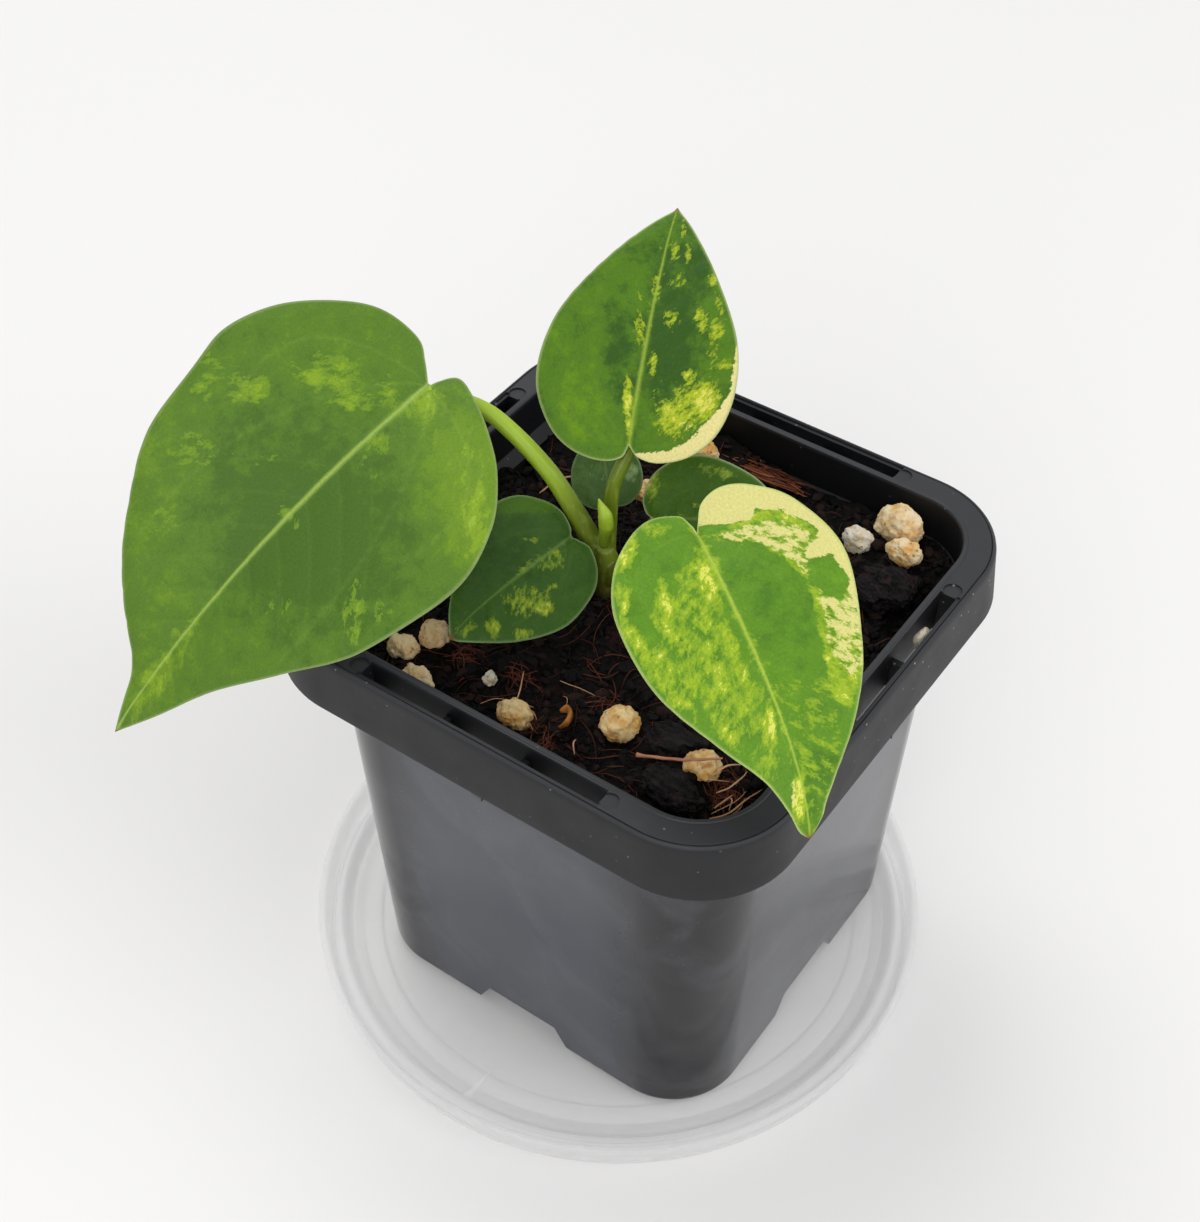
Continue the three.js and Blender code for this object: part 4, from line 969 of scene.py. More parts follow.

# Leaves. Each outline and pose is the part's own; the marks are ellipses on the flat blade:
# along, across, half length, half width, turn in degrees, strength. A zone has corners and a strength.

# Shade marks: partly the blade's own darker and paler green, partly painted sheen where it catches the light
# and painted shade in its folds
leaves = {
    "leaf_large": {
        "joint": (-30.9, -7.6, 99.8), "heading": -102, "rise": -15.2, "turn": -20.7,
        "length": 66.9, "arch": 42.2, "curl": 3.9, "fold": 0.215, "droop": 0.0019, "tipSwing": 0,
        "right": [(-1.9, 2.6), (-3.5, 5.8), (-2.6, 11.5), (0.9, 16.4), (6.9, 21.5), (13.9, 23.8),
                  (19.8, 23.4), (31, 21.4), (41.5, 16), (50.4, 9), (56.6, 3.5), (61.2, 1.6)],
        "left": [(-1.8, -0.6), (-3.6, -2.2), (-3.1, -5.2), (-0.7, -10.9), (3.2, -17), (9.4, -22.4),
                 (18, -24.6), (31.3, -21.3), (41.1, -14.9), (50.2, -8.6), (58.9, -4.3)],
        "slot": "leaf_green", "ribs": 190, "rows": 44, "veins": 9,
        "veinPale": 0.09, "ribWide": 0.36, "stray": 0.05, "marbleSize": 3,
        "deep": "#46671f", "mid": "#547822", "bright": "#66891f",
        "halfLime": "#6a8b22", "lime": "#7c9c22", "paleLime": "#8dab30", "cream": "#c9cf74",
        "ribColour": "#9cb953", "edgeColour": "#93a86a",
        "paintedLightAndTone": [(24.3, -0.6, 15, 13, 61, -0.75), (27.2, -10.3, 12, 10, 60, -0.4),
                  (5.6, 12.2, 11.2, 5.5, 42, 0.15), (35.3, 14, 14, 5, -42, 0.35), (6, -14, 12, 6, -48, 0.9),
                  (57, 0, 9, 5, 0, 0.4), (14, 18, 12, 5, 40, -0.15)],
        "limeMarks": [(19.9, 18.2, 8.4, 2.7, 46, 0.58), (18, 21.5, 4.2, 1.8, 60, 0.62),
                      (16.7, 14.6, 2.6, 2.2, 45, 0.7), (28, 14.4, 6.2, 3, 48, 0.56),
                      (8.6, 9.9, 6.4, 3.4, 43, 0.7), (7.3, 4.5, 7, 3.6, 41, 0.64),
                      (2.1, -1.8, 4.4, 3.2, -54, 0.78), (7.3, -16.2, 14.1, 4.6, -48, 0.66),
                      (8.6, -19.5, 7.9, 2.2, -48, 0.86), (28.7, -16.7, 4.6, 2.2, -50, 0.66),
                      (26, -20.1, 3, 1.9, -67, 0.6), (55.6, -0.8, 8.6, 2.4, 3, 0.8),
                      (47.4, 0.4, 6, 2, 4, 0.56), (26.2, -0.6, 3.4, 1.6, 81, 0.5),
                      (12.1, -2.6, 4.6, 2.6, -53, 0.54), (4.2, -8.4, 5.8, 3.4, -50, 0.54),
                      (38, 12, 6, 3, 30, 0.44), (36, -9, 5, 2.6, -40, 0.42), (22, 6, 4, 2, 30, 0.42)],
    },
    "leaf_upright": {
        "joint": (-4.7, 2.5, 95), "heading": 113, "rise": 40.4, "turn": -3.1,
        "length": 34.9, "arch": 14.5, "curl": 1.6, "fold": 0.16, "droop": 0.0034, "tipSwing": 0.5,
        "right": [(-1.5, 1.6), (-2, 4.6), (-0.6, 8.8), (3, 12), (9, 13.4), (16, 12.4), (24.8, 8),
                  (31.3, 3.6)],
        "left": [(-1.9, -0.9), (-2.6, -3.8), (-1.6, -7.8), (1.2, -11.2), (6.4, -13.8), (12.8, -13.8),
                 (19.2, -11.8), (27.4, -6.3), (32.3, -2.3)],
        "slot": "leaf_half_marbled", "ribs": 110, "rows": 30, "veins": 7,
        "veinPale": 0.06, "ribWide": 0.32, "stray": 0.04, "marbleSize": 0.9,
        "deep": "#2f5412", "mid": "#4c7413", "bright": "#608806",
        "halfLime": "#81981b", "lime": "#a3b422", "paleLime": "#cfce55", "cream": "#ddd28c",
        "ribColour": "#93ad38", "edgeColour": "#aebd7c",
        "paintedLightAndTone": [(12, -3.2, 9, 2.2, -13, -0.6), (3, -11, 4, 3, 0, -0.3), (12.9, 3.6, 7, 4, -13, -0.9),
                  (3, -8, 5, 4, -20, 0.5), (25, 3, 8, 5, -13, -0.6)],
        "limeMarks": [(7.2, 9.5, 3, 2.3, -14, 1.04), (4.4, 5.5, 3.3, 2.9, -21, 0.86),
                      (10.2, 6.8, 1.5, 1.3, -49, 0.76), (6, 7.4, 4.2, 2.4, -18, 0.76),
                      (6.1, -1.1, 3.9, 0.75, -10, 0.96), (2.6, -0.3, 1.9, 0.6, -9, 0.86),
                      (16, -1.2, 3.2, 1.1, -12, 0.66), (22.6, -0.1, 2.6, 0.9, -12, 0.66),
                      (21, -2, 1.2, 0.9, -6, 0.56), (18.1, 2.8, 2.1, 1.6, -17, 0.61),
                      (18.2, 7.1, 2.3, 1.3, -14, 0.72), (16.8, 9.3, 2.2, 1.4, -13, 0.76),
                      (24.3, 7.6, 1.4, 0.9, -19, 0.76), (31, 2.2, 2.2, 0.6, -11, 0.66),
                      (27.8, 3.4, 1.9, 0.7, -11, 0.66), (23.6, 2.7, 1.9, 1.7, -62, 0.56),
                      (28.1, 1.5, 2.3, 0.8, -12, 0.66), (12.2, 11.3, 1.6, 1, -85, 0.76),
                      (11.5, 1.5, 2.4, 0.9, -12, 0.66), (14, 9.5, 2, 1.3, -20, 0.56),
                      (20.5, 9.2, 2.6, 0.8, -25, 0.61)],
        "creamMarks": [(7.6, 10.6, 1.6, 1.1, -14, 0.55), (3.4, 7.6, 1.6, 0.9, -30, 0.5)],
        "limeZones": [
            ([(1, 2.5), (4, 1.6), (9, 1.4), (10.5, 6), (14, 11.5), (8, 12), (3, 8.5)], 0.36),
        ],
        "creamZones": [
            ([(-1.2, 0.5), (-0.4, 3.9), (0, 5.9), (1.6, 8.2), (3.4, 9.4), (6.4, 11.6), (8.5, 12.6),
              (13, 12.6), (16.5, 12.4), (17, 16), (6, 18), (-4, 12), (-5, 4), (-3.5, 0.6)], 1),
        ],
        "plainZones": [
            ([(-4, -2.4), (6, -2.6), (10, -3.4), (22, -3.6), (30, -2.6), (34, -3), (20, -16), (0, -16),
              (-5, -6)], 1),
        ],
    },
    "leaf_marbled": {
        "joint": (14.7, -10.6, 98.9), "heading": -33.1, "rise": -8.6, "turn": 5.7,
        "length": 41.4, "arch": 30, "curl": 4.8, "fold": 0.237, "droop": 0.0018, "tipSwing": 2,
        "right": [(-1.4, 0.2), (-3.2, 1.1), (-3.6, 4.6), (-1.6, 8.2), (3.3, 12.6), (9.9, 14.9), (19, 14),
                  (27.8, 8.9), (33.3, 5), (37.5, 3.4), (40.2, 2.9)],
        "left": [(-1.5, -0.8), (-4, -2.4), (-4.9, -5.4), (-3.2, -8.9), (1.5, -12.9), (10.9, -15.1),
                 (22.1, -12.2), (29.6, -8.2), (35.4, -3.5), (38, -1.3), (40.4, 0.3)],
        "slot": "leaf_marbled", "ribs": 130, "rows": 36, "veins": 8,
        "veinPale": 0.06, "ribWide": 0.28, "stray": 0.22, "marbleSize": 1.5,
        "deep": "#48751a", "mid": "#5a881d", "bright": "#699820",
        "halfLime": "#7b9e21", "lime": "#94b024", "paleLime": "#d3d75a", "cream": "#d3ce80",
        "ribColour": "#a9c244", "edgeColour": "#b9cb78",
        "paintedLightAndTone": [(13, -5, 10, 4, -12, -0.35), (30, 1, 9, 6, 0, 0.1), (2.3, 6.1, 4, 3.4, 57, -0.1),
                  (34.5, -1.8, 5, 3, 20, -0.5), (13.6, 6.3, 4, 2.4, 30, -0.2)],
        "limeMarks": [(7, 1.7, 5, 1.5, 12, 1), (27.4, 1.7, 3.4, 0.7, 16, 1.1), (36.3, 1.6, 3.6, 1.1, 18, 1),
                      (3.4, -3.2, 3.4, 1.4, -40, 0.62), (6.6, 1.4, 5.9, 2.3, 12, 0.82),
                      (19.9, 5, 4, 2.5, 29, 0.82), (27.8, 2.3, 4.1, 1.25, 20, 0.85),
                      (36, 1.4, 4.2, 1.25, 22, 0.7), (10.4, 8.8, 4.6, 2.1, 25, 0.72),
                      (16.1, 12, 3.6, 2.5, 30, 0.76), (19.4, 10.6, 2.9, 2.3, 43, 0.72),
                      (0.5, 9.9, 4, 1.7, 40, 0.95), (6.9, 12.8, 3.4, 1.15, 20, 0.85),
                      (21.3, -10.3, 4.4, 2.5, 20, 0.9), (25.7, -7.3, 2.7, 2.1, 20, 0.7),
                      (28, -3.5, 2.5, 1.6, 23, 0.6), (23, 1.9, 2.9, 2.3, 61, 0.65),
                      (31.6, 4.2, 3.6, 2.1, 30, 0.65), (7.2, -1.8, 1.35, 0.85, 17, 0.6),
                      (26, 7.5, 4.2, 1.7, -25, 0.7), (16.5, 2.2, 2.3, 1.35, 15, 0.7),
                      (13.6, 4.2, 2.5, 1.45, 25, 0.65), (13, 13.6, 5.2, 1.35, -5, 0.85),
                      (20, 11.6, 4.2, 1.6, -25, 0.82), (9.7, 8.3, 5.7, 1.25, 14, 0.9),
                      (22, 7.6, 3.1, 2.1, 10, 0.65), (32, -4.6, 2.7, 1.05, 30, 0.6),
                      (-1.6, 5, 2.1, 2.3, 0, 0.7)],
        "creamMarks": [(22.4, -10.8, 3.2, 1.3, 20, 0.6), (18, -12.6, 3, 1.3, 10, 0.55),
                       (6.4, 1.2, 3.4, 1, 12, 0.42), (28, 2.2, 3.2, 0.7, 20, 0.5),
                       (0.5, 10.6, 3, 0.8, 40, 0.5), (19.6, 5.2, 2.4, 1.2, 29, 0.36),
                       (35.6, 2.1, 2.2, 0.45, 25, 0.7), (16, 12.2, 2.4, 1.2, 35, 0.36)],
        "limeZones": [
            ([(1, -1), (0.4, -7), (1.2, -10.5), (4.5, -12.8), (8, -13.6), (14, -14), (23.5, -12.5),
              (29, -8), (27, -6), (21, -7.4), (12, -9.2), (5.4, -6)], 0.8),
            ([(3, 0.8), (12, 1.2), (21, 1.4), (27, 1.6), (28, 5), (20, 11), (10, 9), (5, 5)], 0.68),
            ([(21, -1), (24, -7.5), (33, -5.5), (39, -1), (40.5, 2), (30, 1.5)], 0.52),
        ],
        "creamZones": [
            ([(-1, -0.4), (-0.2, -2.1), (0.9, -4.6), (1.7, -6.7), (0.6, -7.7), (1.8, -10), (4.1, -11.7),
              (6.7, -13.1), (7.7, -12.7), (8.4, -10.6), (10.9, -9.8), (12.2, -12), (14, -13), (18, -13.2),
              (24, -11.9), (22, -18), (8, -19), (-6, -12), (-8, -3), (-3, -0.9)], 1),
            ([(0.8, -1.4), (2.4, -9.6), (7, -13), (14, -13.6), (14.5, -11.6), (12.2, -9.6), (9.2, -8.3),
              (5.2, -5.9), (3, -2.6)], 0.66),
            ([(12.5, -10.2), (14, -14), (24, -13), (25.5, -9), (21, -8), (17, -9)], 0.68),
        ],
        "plainZones": [
            ([(9.8, -10.4), (10.6, -13.4), (14.5, -14.2), (16, -11.8), (12.8, -9.6)], 0.8),
            ([(2.6, -1.6), (5.2, -5.6), (9.2, -7.9), (13.4, -8.5), (17.2, -7.9), (21.5, -6.3), (23.7, -4.9),
              (21.9, -2.2), (15.7, -1.5), (7.6, -1.1)], 1),
        ],
    },
    "leaf_low": {
        "joint": (-9.2, -4.8, 81.3), "heading": -103.1, "rise": -7.8, "turn": -28.4,
        "length": 22.6, "arch": 11.2, "curl": 0.2, "fold": 0.119, "droop": 0.0038, "tipSwing": -1.2,
        "right": [(-0.8, 1.3), (-1.1, 3.8), (0.1, 6.5), (3, 9.3), (7.5, 10.1), (13, 8.4), (19.4, 2.9),
                  (21.4, 0.6)],
        "left": [(-0.5, -1), (-1, -3.1), (0.6, -6.4), (3.8, -8.6), (9.5, -9.6), (15.6, -7.2), (21.2, -2.8)],
        "slot": "leaf_dark", "ribs": 90, "rows": 24, "veins": 5,
        "veinPale": 0.12, "ribWide": 0.24, "stray": 0.06, "marbleSize": 1,
        "deep": "#294a12", "mid": "#355719", "bright": "#466b18",
        "halfLime": "#637c1e", "lime": "#809722", "paleLime": "#a9b545", "cream": "#b9c16a",
        "ribColour": "#5f7f35", "edgeColour": "#86a068",
        "paintedLightAndTone": [(2.8, 7.7, 5, 1.6, 36, 0.9), (10, 4, 6, 4, 30, -0.4), (8, -4, 6, 4, 0, -0.2)],
        "limeMarks": [(11.1, -3.6, 4.2, 2.9, 36, 0.68), (10, -5.6, 1.85, 1.45, 36, 0.95),
                      (17, -3.5, 1.85, 1.3, -55, 0.86), (12.6, -3.8, 1.45, 0.9, -50, 0.8),
                      (14.6, -6.8, 1.75, 1.2, 35, 0.82), (7.1, -4.1, 0.9, 0.65, 43, 0.8),
                      (5, 2.8, 1.75, 0.75, 36, 0.62), (4.4, -1, 2.8, 2.2, 6, 0.62),
                      (20, -1.6, 2.2, 0.9, 0, 0.7), (8, 0.2, 4.4, 0.9, 2, 0.62)],
    },
    "leaf_back": {
        "joint": (-3, 6, 79.9), "heading": 21.5, "rise": 12, "turn": 47.4,
        "length": 20.5, "arch": 12, "curl": 0, "fold": 0.12, "droop": 0.006, "tipSwing": 0,
        "right": [(-0.9, 1), (-1.2, 3.2), (0.6, 6.6), (4.6, 8.7), (9, 8.7), (14.6, 6), (18.4, 2.2)],
        "left": [(-0.9, -1), (-1.2, -3.2), (0.6, -6.6), (4.6, -8.7), (9, -8.7), (14.6, -6), (18.4, -2.2)],
        "slot": "leaf_dark", "ribs": 80, "rows": 22, "veins": 5,
        "veinPale": 0.1, "ribWide": 0.22, "stray": 0.05, "marbleSize": 1.3,
        "deep": "#32540b", "mid": "#3d6010", "bright": "#4e7214",
        "halfLime": "#678124", "lime": "#829a30", "paleLime": "#a8b458", "cream": "#b8c283",
        "ribColour": "#627f35", "edgeColour": "#aab886",
        "paintedLightAndTone": [(9, 0, 8, 6, 0, -0.3), (1, -5, 3, 3, 0, 0.4)],
        "limeMarks": [(0, -4.9, 2.8, 1.5, -90, 0.86), (9.4, -6.6, 3.7, 1.05, 10, 0.74),
                      (6.6, -1.8, 1.05, 0.7, 0, 0.64), (3, 5, 3.5, 1.85, 20, 0.69)],
    },
    "leaf_tiny": {
        "joint": (-11.4, 8, 76.9), "heading": 137.3, "rise": 43.8, "turn": -11,
        "length": 11.2, "arch": 6, "curl": 0, "fold": 0.1, "droop": 0.008, "tipSwing": 0,
        "right": [(-0.5, 0.9), (-0.4, 2.6), (1, 4.4), (3.4, 5.2), (6.4, 4.7), (9.3, 2.6)],
        "left": [(-0.5, -0.9), (-0.4, -2.6), (1, -4.4), (3.4, -5.2), (6.4, -4.7), (9.3, -2.6)],
        "slot": "leaf_grey_green", "ribs": 60, "rows": 16, "veins": 4,
        "veinPale": 0.1, "ribWide": 0.2, "stray": 0.08, "marbleSize": 1.2,
        "deep": "#3a5727", "mid": "#46642f", "bright": "#56753c",
        "halfLime": "#677f4c", "lime": "#7f9560", "paleLime": "#9cab80", "cream": "#a9b48a",
        "ribColour": "#657f4c", "edgeColour": "#839a6c",
        "paintedLightAndTone": [(3.6, -3.7, 4, 2, 9, 0.4)],
        "limeMarks": [(4.2, 3.6, 2.2, 1.5, 10, 0.78), (5.5, -2, 2, 1, 0, 0.42)],
    },
}
# Half the blade's thickness, how it thins at the edge, and the depths of its relief, all in mm
blade = {
    "half": 0.35, "edgeHalf": 0.13, "edgeWide": 1.4, "keel": 1.2, "veinWide": 0.22, "quilt": 0.055,
    "veinGroove": 0.05, "ripple": 0.28, "rippleReach": 2.2, "swell": 0.12, "swellSize": 5.0,
    "ribGroove": 0.16, "ribRise": 0.1, "ribBelow": 0.3, "veinBelow": 0.06,
}


def leafFrame(leaf):
    heading, rise, turn = (math.radians(leaf[k]) for k in ("heading", "rise", "turn"))
    along = Vector((math.cos(heading) * math.cos(rise), math.sin(heading) * math.cos(rise), math.sin(rise)))
    up = (Vector((0, 0, 1)) - along * along.z).normalized()
    out = Matrix.Rotation(turn, 3, along) @ up
    return np.array(along), np.array(along.cross(out)), np.array(out)


def midribSwing(leaf, a):
    return leaf["tipSwing"] * np.maximum(a / leaf["length"], 0) ** 6


# Points of the blade's middle surface over the flat places (a, b), raised by lift out of its face
def leafPoints(leaf, a, b, lift):
    along, across, out = leafFrame(leaf)
    arch, curl = math.radians(leaf["arch"]), math.radians(leaf["curl"])
    bend = lambda s: arch * (s / leaf["length"]) + curl * (s / leaf["length"]) ** 2
    steps = 12
    run, fall = np.zeros(len(a)), np.zeros(len(a))
    for i in range(steps):
        angle = bend(a * (i + 0.5) / steps)
        run += a * np.cos(angle) / steps
        fall += a * np.sin(angle) / steps
    away = b - midribSwing(leaf, a)
    height = leaf["fold"] * (np.hypot(away, blade["keel"]) - blade["keel"]) - leaf["droop"] * away ** 2 + lift
    angle = bend(a)
    return (np.array(leaf["joint"]) + np.outer(run + height * np.sin(angle), along)
            + np.outer(-fall + height * np.cos(angle), out) + np.outer(b, across))


# Evenly spaced points of one half of the outline, closest together at the joint
def halfOutline(leaf, half, count):
    ends = [(0, 0)] + list(half) + [(leaf["length"], leaf["tipSwing"])]
    dense = throughPoints([(a, b, 0) for a, b in ends], 60 * len(ends), centripetal=False)[:, :2]
    lengths = np.concatenate([[0], np.cumsum(np.linalg.norm(np.diff(dense, axis=0), axis=1))])
    places = lengths[-1] * (np.arange(count + 1) / count) ** 1.25
    return np.column_stack([np.interp(places, lengths, dense[:, k]) for k in (0, 1)])


# How far each flat place lies from a line through points
def distanceTo(places, line):
    nearest = np.full(len(places), 1e9)
    for start, end in zip(line[:-1], line[1:]):
        span = end - start
        share = np.clip(((places - start) @ span) / max(span @ span, 1e-9), 0, 1)
        nearest = np.minimum(nearest, np.linalg.norm(places - start - share[:, None] * span, axis=1))
    return nearest


def insideZone(places, corners):
    corners = np.array(corners, float)
    inside = np.zeros(len(places), bool)
    for (a0, b0), (a1, b1) in zip(corners, np.roll(corners, -1, axis=0)):
        crosses = (b0 > places[:, 1]) != (b1 > places[:, 1])
        where = a0 + (places[:, 1] - b0) * (a1 - a0) / np.where(b1 == b0, 1e-9, b1 - b0)
        inside ^= crosses & (places[:, 0] < where)
    away = distanceTo(places, np.vstack([corners, corners[:1]]))
    return np.clip(0.5 + np.where(inside, away, -away) / 0.9, 0, 1)


def markStrength(places, marks):
    total = np.zeros(len(places))
    for a, b, halfLong, halfWide, turn, strength in marks:
        angle = math.radians(turn)
        offset = places - (a, b)
        u = (offset[:, 0] * math.cos(angle) + offset[:, 1] * math.sin(angle)) / halfLong
        v = (-offset[:, 0] * math.sin(angle) + offset[:, 1] * math.cos(angle)) / halfWide
        fade = np.clip(1.45 - np.hypot(u, v), 0, 1)
        total = np.maximum(total, strength * fade) if strength > 0 else np.minimum(total, strength * fade)
    return total


def sumOfMarks(places, marks):
    return sum((markStrength(places, [mark]) for mark in marks), np.zeros(len(places)))


# The side veins of one half: two run from the joint round the lobe, the rest leave the midrib
def veinLines(leaf, side):
    half = leaf["right"] if side > 0 else leaf["left"]
    wide = max(abs(b) for _, b in half)
    length = leaf["length"]
    lines = []
    for reach, end in ((0.62, 0.72), (0.8, 0.3)):
        share = np.linspace(0, 1, 14)
        a = length * end * share ** 1.2 - (1 - end) * 3.2 * np.sin(share * math.pi)
        b = side * wide * reach * np.sin(np.clip(share * 1.9, 0, 2.1)) * (1 - 0.12 * share)
        lines.append((np.column_stack([a, b]), 1.0))
    for k in range(leaf["veins"]):
        root = length * (0.08 + 0.78 * k / leaf["veins"])
        span = wide * 0.86 * math.sin(math.pi * min(0.34 + root / length * 0.62, 1)) ** 0.8
        share = np.linspace(0, 1, 8)
        a = root + span * (0.62 * share + 0.42 * share ** 2)
        lines.append((np.column_stack([a, side * span * share]), 0.45))
    return lines


# A young anthurium blade: satin, faintly velvety, green marbled with lime and cream where the
# green is missing, with a paler midrib and a thin pale edge, and with painted shade and painted sheen in its
# greens
def makeLeafMaterial(name, leaf):
    # The flat blade is in millimetres already, and flow runs along its side veins. Its cells are far finer
    # than 0.34 mm, and are drawn that coarse to show as a grain.
    material, tree, flat, mottle, cells = newMaterial(
        "leaf_blade_" + name, [(3.6, 7, 0.72, 0.0), (0.34, 3)], "flat")
    lime, cream, paintedLightAndTone, vein, edge, tip = (addNode(tree, "Attribute", {}, "Fac", attribute_name=key)
                                           for key in ("lime", "cream", "paintedLightAndTone", "vein", "edge", "tip"))
    flow = addNode(tree, "Attribute", {}, "Vector", attribute_name="flow")
    marbling = addNode(tree, "TexNoise", {"Vector": flow, "Scale": 1 / leaf["marbleSize"], "Detail": 7,
                                          "Roughness": 0.74, "Distortion": 0.2}, "Fac")
    dents = {"Vector": flow, "Scale": 1 / 2.2, "Detail": 3, "Roughness": 0.55}
    quilt = addNode(tree, "TexNoise", dents, "Fac")
    # Each noise, which is 0.5 on average, pushes what is painted on the blade up and down
    pushed = []
    for noise, push, painted in ((mottle, 3.2, paintedLightAndTone), (marbling, 3.4, lime), (marbling, 2.6, cream)):
        centred = addNode(tree, "Math", {0: noise, 1: 0.5}, operation="SUBTRACT")
        pushed.append(addNode(tree, "Math", {0: centred, 1: push, 2: painted}, operation="MULTIPLY_ADD"))
    paintedLightAndTone, lime, cream = pushed
    # Deeper and brighter greens: partly the blade's own tone, partly painted shade and painted sheen
    tone = layColours(tree, leaf["mid"], [
        (paintedLightAndTone, 0.0, -0.8, 1, leaf["deep"]), (paintedLightAndTone, 0.0, 0.8, 1, leaf["bright"]),
        (lime, 0.32, 0.44, 1, leaf["halfLime"]), (lime, 0.58, 0.74, 1, leaf["lime"]),
        (lime, 0.92, 1.1, 1, leaf["paleLime"]), (cream, 0.42, 0.62, 1, leaf["cream"])])
    for mask, colour in ((vein, leaf["ribColour"]), (edge, leaf["edgeColour"]), (tip, "#7a4a20")):
        tone = addNode(tree, "Mix", {0: mask, 6: tone, 7: srgb(colour)}, 2, data_type="RGBA")
    fine, rough = (addNode(tree, "Math", {0: cells, 1: spread, 2: least}, operation="MULTIPLY_ADD")
                   for spread, least in ((0.52, 0.74), (0.2, 0.38)))
    return finishMaterial(material, tree, [(cells, 0.09), (quilt, 0.16)], {
        "Base Color": addNode(tree, "VectorMath", {0: tone, "Scale": fine}, operation="SCALE"),
        "Roughness": rough, "IOR": 1.45, "Specular IOR Level": 0.22})


# The underside is paler, duller and has raised veins
def makeLeafBackMaterial(name, leaf):
    material, tree, flat, cloud, cells = newMaterial("leaf_back_" + name, [(4.0, 4), (0.6, 3)], "flat")
    lime, cream, vein = (addNode(tree, "Attribute", {}, "Fac", attribute_name=key)
                         for key in ("lime", "cream", "vein"))
    tone = addNode(tree, "Mix", {0: 0.35, 6: srgb(leaf["mid"]), 7: srgb("#9fb07a")}, 2, data_type="RGBA")
    tone = addNode(tree, "Mix", {0: cloud, 6: tone, 7: srgb(leaf["bright"])}, 2, data_type="RGBA")
    tone = layColours(tree, tone, [(lime, 0.3, 0.8, 0.4, leaf["lime"]),
                                   (cream, 0.4, 0.8, 0.8, leaf["cream"])])
    tone = addNode(tree, "Mix", {0: vein, 6: tone, 7: srgb(leaf["ribColour"])}, 2, data_type="RGBA")
    return finishMaterial(material, tree, [(cells, 0.05)], {
        "Base Color": tone, "Roughness": 0.62, "IOR": 1.4})


